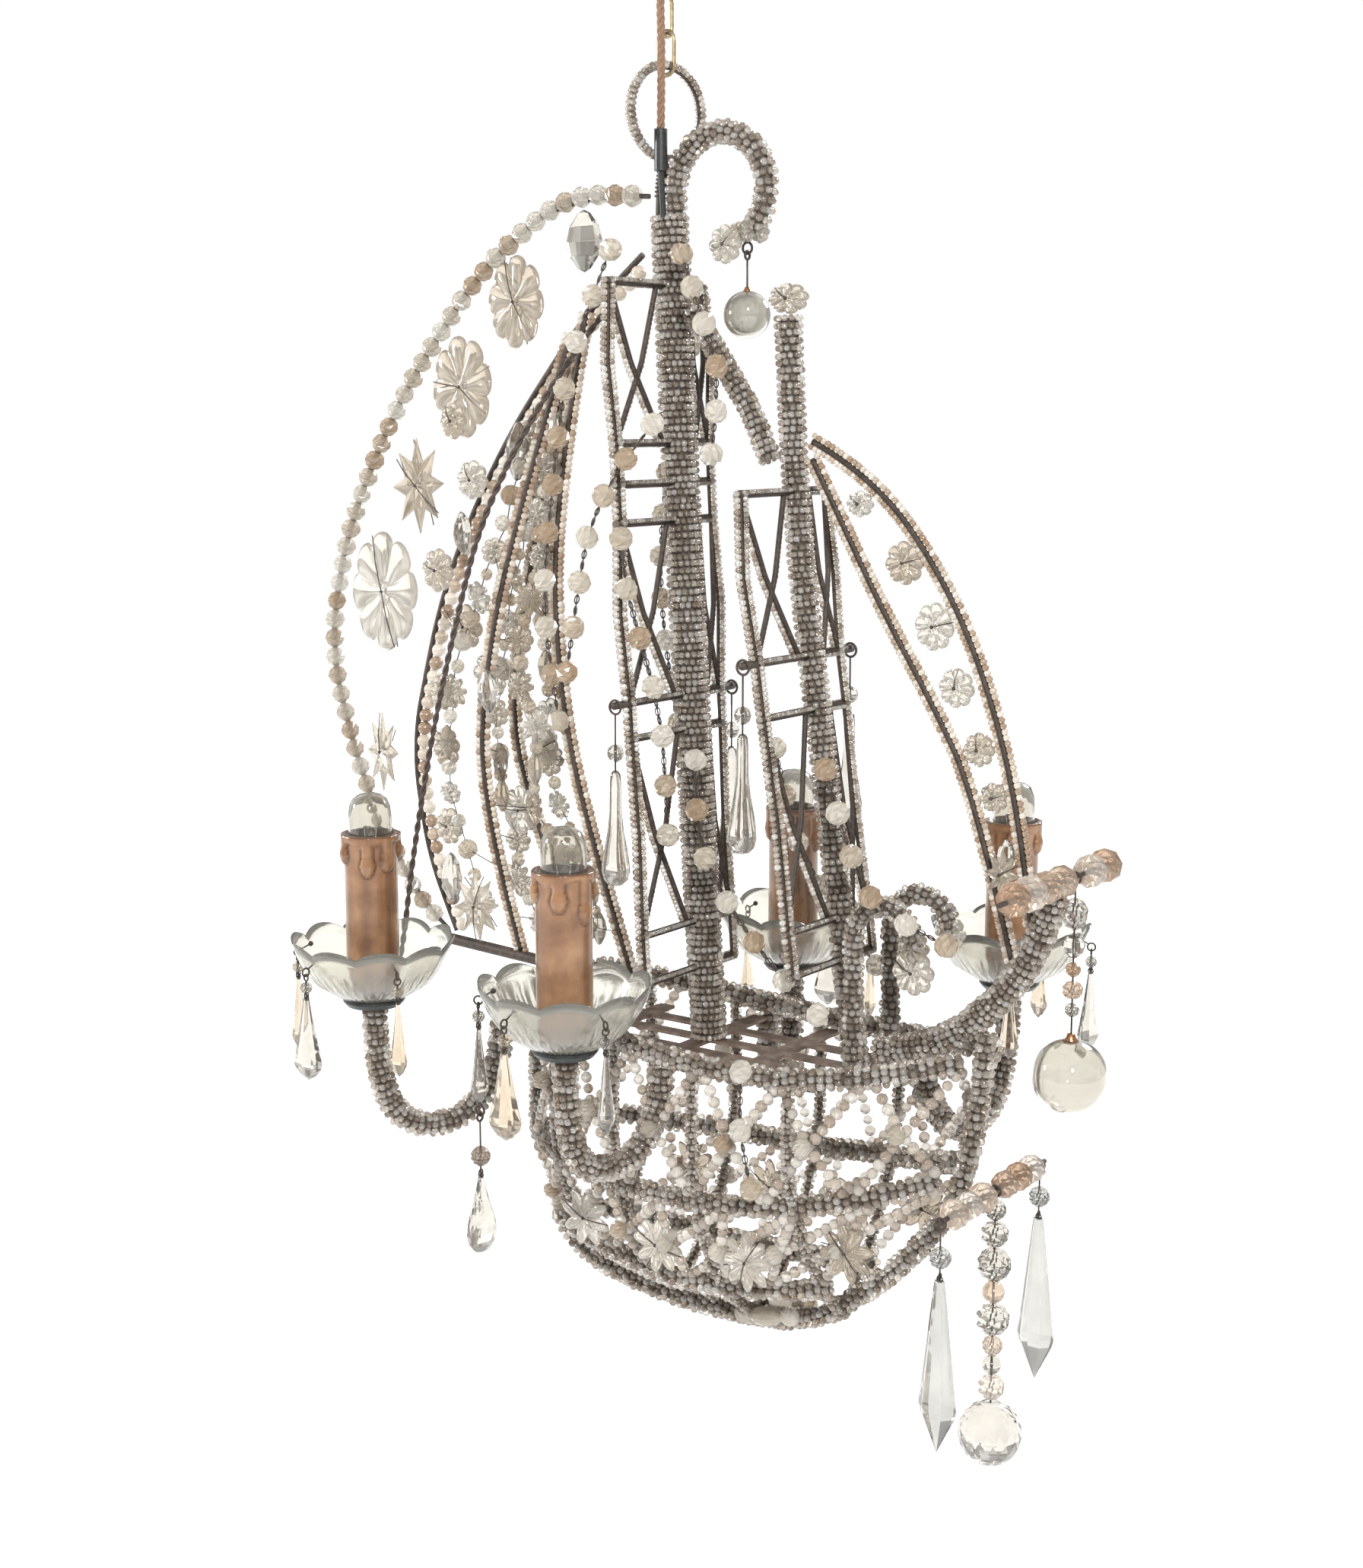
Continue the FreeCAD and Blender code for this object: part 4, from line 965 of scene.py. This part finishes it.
def garland_links(mats):
    """Each garland wire, with a chain of small rings where it is long enough."""
    kit = Kit()
    for _, _, co in islands("garland_wires"):
        axis = np.linalg.svd(co - co.mean(0))[2][0]
        t = (co - co.mean(0)) @ axis
        a, b = co.mean(0) + axis * t.min(), co.mean(0) + axis * t.max()
        span = np.linalg.norm(b - a)
        stick(kit, a, b, 0.00035, 6)
        if span > 0.005:
            count = max(2, int(span / 0.0042))
            for i in range(count):
                at = a + (b - a) * (i + 0.5) / count
                across = np.cross(axis, (0.3, 0.8, 0.5) if i % 2 else (0.8, -0.3, 0.4))
                kit.add(torus(0.0013, 0.0003, 14, 6), place(at, x=axis, z=across, scale=(1.5, 1, 1)), 0)
    kit.piece("garland_links", [mats["iron"]], "lamp", "dark_iron", ("garland_wires",))


# ---------------------------------------------------------------- lamps
def pan_shape():
    """A pressed glass pan about its lamp's axis: ten shallow lobes, fine flutes under the bowl."""
    around, lobes, flutes = 160, 10, 40
    outer = [(0.0052, -0.530), (0.010, -0.530), (0.015, -0.530), (0.0215, -0.5262), (0.028, -0.522),
             (0.032, -0.517),
             (0.036, -0.511), (0.0388, -0.5045), (0.0408, -0.4988)]
    inner = [(0.0404, -0.49845), (0.0383, -0.5042), (0.0354, -0.51065), (0.0313, -0.5167),
             (0.0272, -0.5213),
             (0.0208, -0.5253), (0.0146, -0.5286), (0.009, -0.5286), (0.0052, -0.5286)]
    verts = []
    for index, (r, z) in enumerate(outer + inner):
        under = index < len(outer)
        for i in range(around):
            a = 2 * math.pi * i / around
            lobe = abs(math.cos(lobes * a / 2)) ** 0.8
            open_out = (r / 0.041) ** 5
            rr, zz = r - 0.0016 * (1 - lobe) * open_out, z - 0.0042 * (1 - lobe) * open_out
            if under and 0.012 < r < 0.034:
                rr += 0.0004 * math.cos(flutes * a)
            verts.append((rr * math.cos(a), rr * math.sin(a), zz))
    return np.array(verts), quads(len(outer) + len(inner), around, closed=True)


SLEEVE_RADIUS, RIM_HEIGHT, RUN_HEIGHT, BARE_BELOW = 0.0134, 0.0015, 0.0019, 0.0002


def wax_at(a, depth, rim, runs):
    """How far the wax stands out at a point of a sleeve, and how dark the painted shade beside and below
    its runs is.
    """
    height, darkening = RIM_HEIGHT * min(1.0, rim * 3.0) ** 0.6, 0.0
    for at, length, width in runs:
        across = ((a - at + math.pi) % (2 * math.pi) - math.pi) * SLEEVE_RADIUS
        belly = 1 + 0.35 * max(0.0, 1 - abs(depth - length * 0.86) / 0.004)
        past = max(0.0, depth - length) / (width * 0.75)
        flat = abs(across) / (width * belly * 0.62)
        inside = 1 - flat ** 2 - past ** 2
        if inside > 0:
            height = max(height, RUN_HEIGHT * belly * min(1.0, math.sqrt(inside) * 1.15))
        # Painted shade: darkest right beside and just below a run, fading away from it.
        elif depth < length + 0.004:
            darkening = max(darkening, 0.95 - min(0.95, -inside / 1.7))
    return height, darkening


def sleeve_shape(seed):
    """A candle sleeve with a melted rim and runs of wax, and how dark each point is painted: brown streaks
    of stain, painted shade beside the runs, and darker at the top lip, inside and towards the foot.
    """
    draw = np.random.default_rng(seed)
    around, rows, wall = 120, 90, 0.0011
    top, foot = -0.447, -0.52745
    runs = [(draw.uniform(-0.2, 0.2) + 2 * math.pi * i / 6, draw.uniform(0.008, 0.021),
             draw.uniform(0.0040, 0.0049))
            for i in range(6)]
    washes = [(draw.integers(2, 9), draw.uniform(0, 6.28), draw.uniform(0.06, 0.16)) for i in range(5)]
    verts, stain_and_shade = [], []
    for j in range(rows + 1):
        z = foot + (top - foot) * j / rows
        depth = top - z
        for i in range(around):
            a = 2 * math.pi * i / around
            rim = max(0.0, 1 - depth / (0.0045 + 0.0012 * math.sin(3 * a + seed)))
            height, darkening = wax_at(a, depth, rim, runs)
            # Darker at the top lip; the painted shade beside the runs is kept off the runs themselves.
            darkening = max(darkening if height < BARE_BELOW else 0.0,
                        0.8 * max(0.0, 1 - depth / 0.0012) if rim > 0.6 else 0.0)
            # Darker towards the foot.
            darkening = max(darkening, 0.55 * max(0.0, 1 - (z - foot) / 0.012) ** 2)
            # Brown streaks of stain on the bare wax.
            if height < BARE_BELOW:
                streak = 0.16 + sum(size * math.sin(n * a + start + 9 * depth) for n, start, size in washes)
                darkening = min(1.0, darkening + max(0.0, streak))
            r = SLEEVE_RADIUS + height - 0.0003
            verts.append((r * math.cos(a), r * math.sin(a), z))
            stain_and_shade.append(darkening)
    last = rows * around
    for z in (top + 0.0001, foot):
        for i in range(around):
            a = 2 * math.pi * i / around
            verts.append(((SLEEVE_RADIUS - wall) * math.cos(a), (SLEEVE_RADIUS - wall) * math.sin(a), z))
            # The inside walls are darker.
            stain_and_shade.append(0.85)
    faces = quads(rows + 1, around)
    in_top, in_foot = last + around, last + 2 * around
    for i in range(around):
        k = (i + 1) % around
        faces += [[last + i, last + k, in_top + k, in_top + i],
                  [in_top + i, in_top + k, in_foot + k, in_foot + i],
                  [in_foot + i, in_foot + k, k, i]]
    return np.array(verts), faces, stain_and_shade


def pans(mats):
    """The four pans, each turned a little its own way."""
    kit = Kit()
    for x, y in LAMPS.values():
        turn = np.array(Matrix.Rotation(RNG.uniform(0, 0.6), 4, "Z"))
        turn[:3, 3] = (x * MM, y * MM, 0)
        kit.add(pan_shape(), turn, 0)
    kit.piece("pans_pressed", [mats["pan"]], "lamp", "pan_glass", ("drip_pans",))


def sleeves(mats):
    """The candle sleeves, with their stain and painted shade as a colour on each point."""
    kit, stains_and_shade = Kit(), []
    for index, (x, y) in enumerate(LAMPS.values()):
        verts, faces, stain_and_shade = sleeve_shape(11 + index)
        kit.add((verts, faces), place((x * MM, y * MM, 0)), 0)
        stains_and_shade += stain_and_shade
    piece = kit.piece("sleeves_dripped", [mats["wax"]], "lamp", "candle_sleeve", ("candle_sleeves",))
    # Stain and painted shade as one grey per point, read by the wax material.
    layer = piece.data.color_attributes.new("stain_and_shade", "FLOAT_COLOR", "POINT")
    layer.data.foreach_set("color", np.array([(s, s, s, 1.0) for s in stains_and_shade], dtype=np.float32).ravel())


BULB_WALL, FILAMENT_Z = 0.0006, -0.4445


def bulbs(mats):
    """Clear tubular bulbs: a thin shell, a glass stem, two supports and a coiled filament."""
    kit = Kit()
    outer = [(0, -0.500), (0.0079, -0.500), (0.0079, -0.4785), (0.0102, -0.469), (0.0107, -0.46),
             (0.0107, -0.4385),
             (0.0101, -0.4335), (0.0085, -0.4298), (0.0055, -0.4278), (0.0025, -0.4272), (0, -0.4271)]
    shell = lathe(outer, 40)
    inner = lathe([(max(0.0, r - BULB_WALL), z + (BULB_WALL if z < -0.45 else -BULB_WALL)) for r,
                   z in outer], 40)
    inner = (inner[0], [f[::-1] for f in inner[1]])
    for x, y in LAMPS.values():
        at = place((x * MM, y * MM, 0))
        kit.add(shell, at, 0)
        kit.add(inner, at, 0)
        kit.add(lathe([(0, -0.4985), (0.0068, -0.4985), (0.0068, -0.4795), (0.0058, -0.4765),
                       (0.0028, -0.4705),
                       (0.0024, -0.462), (0.0012, -0.4605), (0, -0.4605)], 24), at, 2)
        for side in (-1, 1):
            stick(kit, (x * MM + side * 0.0015, y * MM, -0.464),
                  (x * MM + side * 0.0042, y * MM, FILAMENT_Z),
                  0.00028, 6, 1)
        t = np.linspace(-1, 1, 60)
        coil = np.stack([x * MM + 0.0042 * t, y * MM + 0.0008 * np.cos(t * 60),
                         FILAMENT_Z + 0.0008 * np.sin(t * 60)], 1)
        bar(kit, coil, 0.00016, 5, 1, 0.0004)
    kit.piece("bulbs_clear", [mats["clear"], mats["silver"], mats["stem"]], "lamp", "bulb_glass",
              ("bulbs",))


def arm_lead(mats):
    """The braided lead tied along a sail rib."""
    kit = Kit()
    twisted(kit, smooth_line(ARM_LEAD), 0.001, 0.013, 2, 0.0008, 0.00085, 8, 0.0012)
    kit.piece("arm_lead_twist", [mats["lead"]], "lamp", "cloth_flex", ("arm_lead",))


# ---------------------------------------------------------------- hanging drops
KITE = lathe([(0, 1.0), (0.2, 0.985), (0.24, 0.9), (0.62, 0.1), (1.0, -0.56), (0.92, -0.68), (0.5, -0.88),
              (0, -1)], 8)
SPEAR = lathe([(0, 1.0), (0.26, 0.985), (0.34, 0.86), (1.0, -0.46), (0.9, -0.56), (0, -1)], 6)
PEAR_CUT = lathe([(0, 1), (0.16, 0.99), (0.22, 0.86), (0.48, 0.4), (0.86, -0.12), (1.0, -0.45),
                  (0.86, -0.75),
                  (0.5, -0.94), (0, -1)], 12, twist=0.5)
LONG_TEAR = lathe([(0, 1), (0.2, 0.995), (0.36, 0.93), (0.42, 0.7), (0.44, 0.3), (0.56, 0.0), (0.82, -0.35),
                   (0.98, -0.6), (1.0, -0.74), (0.86, -0.88), (0.5, -0.97), (0, -1)], 28)
CAP = lathe([(0, 1), (0.5, 0.9), (0.62, 0.3), (1.0, -0.5), (1.0, -1.0), (0, -1.0)], 16)


BALL_WALL = 0.0012


def hollow(kit, at, radius, mat, cap):
    """A blown ball: thin glass wall and a small metal cap."""
    outer, inner = ico(4), ico(4)
    kit.add(outer, place(at, scale=(radius,) * 3), mat)
    kit.add((inner[0], [f[::-1] for f in inner[1]]), place(at, scale=(radius - BALL_WALL,) * 3), mat)
    kit.add(CAP, place(at + (0, 0, radius * 1.02), scale=(radius * 0.2, radius * 0.2, radius * 0.14)), cap)


def hung(body, eye, eye_r, wire, axis, parts, mats, slot="cut_crystal"):
    """A pendant for its CAD solid. parts: (shape, radius, depth ratio, top, length, mat, smooth)."""
    kit = Kit()
    kit.add(torus(eye_r, wire, 22, 8), place(eye, x=(0.2, 0.3, 1), z=axis), 1)
    top = np.array(eye) - (0, 0, eye_r + wire - 0.0004)
    lowest = 0.0
    for shape, radius, flat, start, length, mat, smooth in parts:
        centre = top - (0, 0, start + length / 2)
        if shape == "hollow":
            hollow(kit, centre, radius, mat, 2)
        else:
            turn = (1, 0, 0) if abs(axis[1]) > 0.5 else (0, 1, 0)
            kit.add(shape, place(centre, x=turn, z=(0, 0, 1), scale=(radius, radius * flat, length / 2)),
                    mat, smooth)
        lowest = max(lowest, start)
    stick(kit, top, top - (0, 0, lowest + 0.0012), 0.00045, 7, 1)
    for shape, radius, flat, start, length, mat, smooth in parts[1:]:
        if flat < 0.95:
            for k, way in enumerate(((1, 0, 0), (0, 1, 0))):
                at = top - (0, 0, start - 0.0014 + 0.0012 * k)
                kit.add(torus(0.0014, 0.00035, 16, 6), place(at, x=(0, 0, 1), z=way), 1)
    return kit.piece(body + "_glass", mats, body, slot, (body,))


# A pan's hole, how far its hook goes out and down, and how far below that the drop's eye lies, in mm.
HOLE_REACH, HOLE_Z, HOOK_OUT, HOOK_DOWN, EYE_BELOW = 36.6, -507.0, 4.55, 3.2, 2.65
DROP_ANGLES = {"stern": (200, 262, 330), "near": (205, 268, 335), "far": (30, 95, 160),
               "bow": (-62, 20, 95)}


def drop_eye(name, deg):
    """Where a pan drop's own eye hangs, and its outward direction."""
    x, y = LAMPS[name]
    out = np.array((math.cos(math.radians(deg)), math.sin(math.radians(deg)), 0))
    return np.array((x, y, HOLE_Z - HOOK_DOWN - EYE_BELOW)) * MM + out * (HOLE_REACH + HOOK_OUT) * MM, out


def pendants(mats):
    """Every drop, ball, tassel and prism that swings on its own eye."""
    cut = [mats["cut"], mats["iron"], mats["copper"]]
    tear = pan_drops(mats, cut)
    balls(mats, cut, tear)
    tassel(mats, cut)
    prisms(mats)
    long_drops(cut)


def pan_drops(mats, cut):
    """Three drops on each pan; returns where the near pan's first one carries the stern tear."""
    warm = [mats["warm_cut"], mats["iron"], mats["copper"]]
    for name, angles in DROP_ANGLES.items():
        for index, deg in enumerate(angles):
            eye, out = drop_eye(name, deg)
            slim = index != 1
            long = 0.046 if slim else 0.050
            parts = [(FACET_BALL, 0.0031, 1.0, 0.0004, 0.006, 0, False),
                     (KITE, 0.0052 if slim else 0.0095, 0.62 if slim else 0.5, 0.0084, long - 0.0086, 0,
                      False)]
            piece_mats = warm if (index + len(name)) % 2 else cut
            if name == "near" and index == 0:
                tear = eye + (0, 0, 0.00065) - (0, 0, 0.0534)
                drop_with_ring(eye, out, parts, piece_mats, tear)
            else:
                hung("pan_drop_%s_%d" % (name, index + 1), eye, 0.0016, 0.00045, out, parts, piece_mats)
    return tear


def balls(mats, cut, tear):
    """The stern tear under its drop, and the two blown balls."""
    x, y, z = tear
    hung("stern_tear", (x, y, z - 0.00065), 0.0019, 0.0006, (1, 0, 0),
         [(FACET_BALL, 0.0048, 1.0, 0.0121, 0.0096, 3, False),
          (PEAR_CUT, 0.0092, 0.6, 0.0262, 0.0376, 0, False)],
         cut + [mats["smoked"]])
    hung("scroll_ball", (0.0468, 0, -0.17065), 0.0019, 0.0006, (1, 0, 0),
         [("hollow", 0.011, 1.0, 0.014, 0.022, 0, True)],
         [mats["clear"], mats["iron"], mats["copper"]])
    hung("bow_ball", (0.2151, 0.017, -0.44845), 0.0025, 0.0006, (0, 1, 0),
         [(CUT_BEAD, 0.0060, 1.0, 0.006, 0.0155, 0, False), (OVAL, 0.0055, 1.0, 0.0225, 0.012, 0, False),
          (FACET_BALL, 0.0036, 1.0, 0.036, 0.007, 3, False),
          (CUT_BEAD, 0.0048, 1.0, 0.0445, 0.009, 3, False),
          (FACET_BALL, 0.0034, 1.0, 0.055, 0.0066, 0, False),
          ("hollow", 0.0175, 1.0, 0.072, 0.035, 4, True)],
         cut + [mats["honey_glass"], mats["clear"]])


def tassel(mats, cut):
    """Eight beads of several sizes down a wire, and a large cut one at its end."""
    parts, depth = [], 0.001
    for i, r in enumerate((5.2, 6.6, 8.2, 5.4, 8.0, 5.0, 4.6, 6.4)):
        shape = (BALL, CUT_BEAD, FACET_BALL)[i % 3] if i else FACET_BALL
        parts.append((shape, r * MM, 1.0, depth, 2 * r * MM * 0.99, 3 if i in (3, 5, 7) else 0,
                      shape is BALL))
        depth += 2 * r * MM
    rich = lathe([(math.sin(math.pi * k / 10), math.cos(math.pi * k / 10)) for k in range(11)], 16,
                 twist=0.5)
    rich[0][:, :2][np.abs(rich[0][:, 2]) > 0.9999] = 0
    parts.append((rich, 0.0154, 1.0, depth + 0.001, 0.0308, 0, False))
    hung("bead_tassel", (0.186, 0.0035, -0.59765), 0.0025, 0.0006, (0, 1, 0), parts,
         cut + [mats["honey_glass"]])


def prisms(mats):
    """The two grey spear prisms of the lower crossbar."""
    for name, y in (("prism_near", -0.048), ("prism_far", 0.048)):
        hung(name, (0.186, y, -0.59765), 0.0025, 0.0006, (0, 1, 0),
             [(FACET_BALL, 0.0052, 1.0, 0.008, 0.0102, 0, False),
              (SPEAR, 0.0099, 0.6, 0.0232, 0.0826, 0, False)],
             [mats["spear"], mats["iron"], mats["copper"]])


def long_drops(cut):
    """A long tear at each end of one crossbar on each mast."""
    for name, (mast, _, reach, z) in SHROUDS.items():
        x = mast_x(mast, z)
        for place_name, side, out in (("near", -1, reach[0]), ("far", 1, reach[1])):
            hung("long_drop_%s_%s" % (name, place_name), (x, side * (out - 1.2) * MM, (z - 0.65) * MM),
                 0.0033, 0.0006,
                 (0, 1, 0), [(BALL, 0.0040, 1.0, 0.014, 0.0085, 0, True),
                             (LONG_TEAR, 0.0068, 0.98, 0.0265, 0.0555, 0, True)],
                 cut)


def drop_with_ring(eye, out, parts, mats, tear):
    """The near pan's first drop, with the wire eye at its tip that carries the stern tear."""
    hung("pan_drop_near_1", eye, 0.0016, 0.00045, out, parts, mats)
    kit = Kit()
    kit.add(EYE_RING, place(tear + (0, 0, 0.0026), x=(1, 0, 0), z=(0, 1, 0)), 0)
    kit.piece("pan_drop_near_ring", [mats[1]], "pan_drop_near_1", "dark_iron", ())


# ---------------------------------------------------------------- hull lattice
NET_STEP, NET_BEAD = 0.0054, 0.0028


def hull_net(mats):
    """Strings of small beads laced between the rails, with a larger bead at each crossing."""
    kit = Kit()
    for side in (-1, 1):
        up, mid, low = (smooth_line(rail if side < 0 else mirrored(rail))
                        for rail in (UPPER_RAIL, MIDDLE_RAIL, LOWER_RAIL))
        for top, bottom, count, swell in ((up, mid, 6, 0.005), (mid, low, 7, 0.003)):
            a, b = even(top, 0.004)[0], even(bottom, 0.004)[0]
            for lean in (0, 1):
                for k in range(count):
                    t0, t1 = (k + 0.15) / count, (k + 1.0) / count
                    if lean:
                        t0, t1 = t1, t0
                    p = a[int(t0 * (len(a) - 1))] + (0, side * 0.003, -0.005)
                    q = b[int(t1 * (len(b) - 1))] + (0, side * 0.003, 0.005)
                    middle = (p + q) / 2 + (0, side * swell, 0)
                    line, *_ = even(np.array([p, middle, q]), NET_STEP)
                    kit.many(BEAD_FINE, bead_matrices(line, np.full(len(line), NET_BEAD)), 0)
                    if not lean:
                        kit.add(FACET_BALL, place(middle + (0, side * 0.004, 0), scale=(0.0046,) * 3), 1,
                                False)
    keel_crystals(kit)
    kit.piece("hull_lattice", [mats["net"], mats["aged"]], "lamp", "aged_crystal", ())


def keel_crystals(kit):
    """Three crystals on each side of the keel, a little forward of its lowest point."""
    keel, along, *_ = even(smooth_line(KEEL), 0.002)
    foot = int(np.argmin(abs(keel[:, 0] - keel[np.argmin(keel[:, 2]), 0] - 0.045)))
    trio = ((-7, ROUND_CUT, (0.0048,) * 3), (0, OVAL, (0.0062, 0.0052, 0.0115)),
            (7, FACET_BALL, (0.005,) * 3))
    for side in (-1, 1):
        for step, shape, size in trio:
            at = keel[min(len(keel) - 1, max(0, foot + step))] + (0, side * 0.0085, 0.004)
            kit.add(shape, place(at, z=along[foot], scale=size), 1, False)


def sail_fill(mats):
    """Small moulded flowers, cut beads and drops wired between the stern sail's ribs."""
    kit = Kit()
    ribs = [even(smooth_line(r), 0.004)[0] for r in [STERN_INNER] + SAIL_RIBS]
    for a, b, count, lean in ((ribs[0], ribs[1], 11, 0.5), (ribs[1], ribs[2], 12, 0.35),
                              (ribs[1], ribs[3], 13, 0.55),
                              (ribs[2], ribs[3], 12, 0.6)):
        before = None
        for k in range(count):
            t = 0.16 + 0.78 * k / (count - 1)
            p, q = a[int(t * (len(a) - 1))], b[int(t * (len(b) - 1))]
            u = lean + RNG.uniform(-0.14, 0.14)
            at = p * (1 - u) + q * u
            kind, size = RNG.integers(0, 6), RNG.uniform(0.0062, 0.0092)
            look = np.array((RNG.normal(0, 0.35), -1, RNG.normal(0, 0.25)))
            if kind in (0, 1, 2):
                kit.add(ROSETTE, place_flat(at, look, (size, 0.0034, size)), 0)
            elif kind == 3:
                kit.add(DAISY, place_flat(at, look, (size * 1.2, 0.004, size * 1.2)), 0)
            elif kind == 4:
                kit.add(OVAL, place(at, scale=(0.0045, 0.0036, 0.009)), 0, False)
            else:
                kit.add(ROUND_CUT, place(at, z=RNG.normal(size=3), scale=(0.0055,) * 3), 1, False)
            if before is not None:
                bar(kit, np.array([before, (before + at) / 2 + RNG.normal(0, 0.001, 3), at]), 0.0003, 5, 2,
                    0.003)
                middle = (before + at) / 2
                kit.add(ROUND_CUT, place(middle, z=at - before, scale=(RNG.uniform(0.003, 0.0048),) * 3), 1,
                        False)
            if k % 2:
                stick(kit, at, p if u < 0.5 else q, 0.0003, 5, 2)
            before = at
    kit.piece("sail_flowers", [mats["moulded"], mats["aged"], mats["iron"]], "lamp", "aged_crystal", ())


def main():
    camera()
    studio()
    mats = make_materials()
    cord_piece(mats)
    suspension(mats)
    beaded_bars(mats)
    shrouds(mats)
    sail_frames(mats)
    strings(mats)
    pans(mats)
    sleeves(mats)
    bulbs(mats)
    arm_lead(mats)
    pendants(mats)
    hull_net(mats)
    sail_fill(mats)
    for nodes, mat in ((("ceiling_rose", "ceiling_hook", "suspension_chain"), "brass"),
                       (("stern_sail_wires", "stern_yard", "pan_hooks"), "iron"), (("deck_frame",), "deck"),
                       (("flex_sleeve",), "sleeve"), (("lampholders",), "holder")):
        for node in nodes:
            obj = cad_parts[node]
            obj.data.materials.clear()
            obj.data.materials.append(mats[mat])


main()
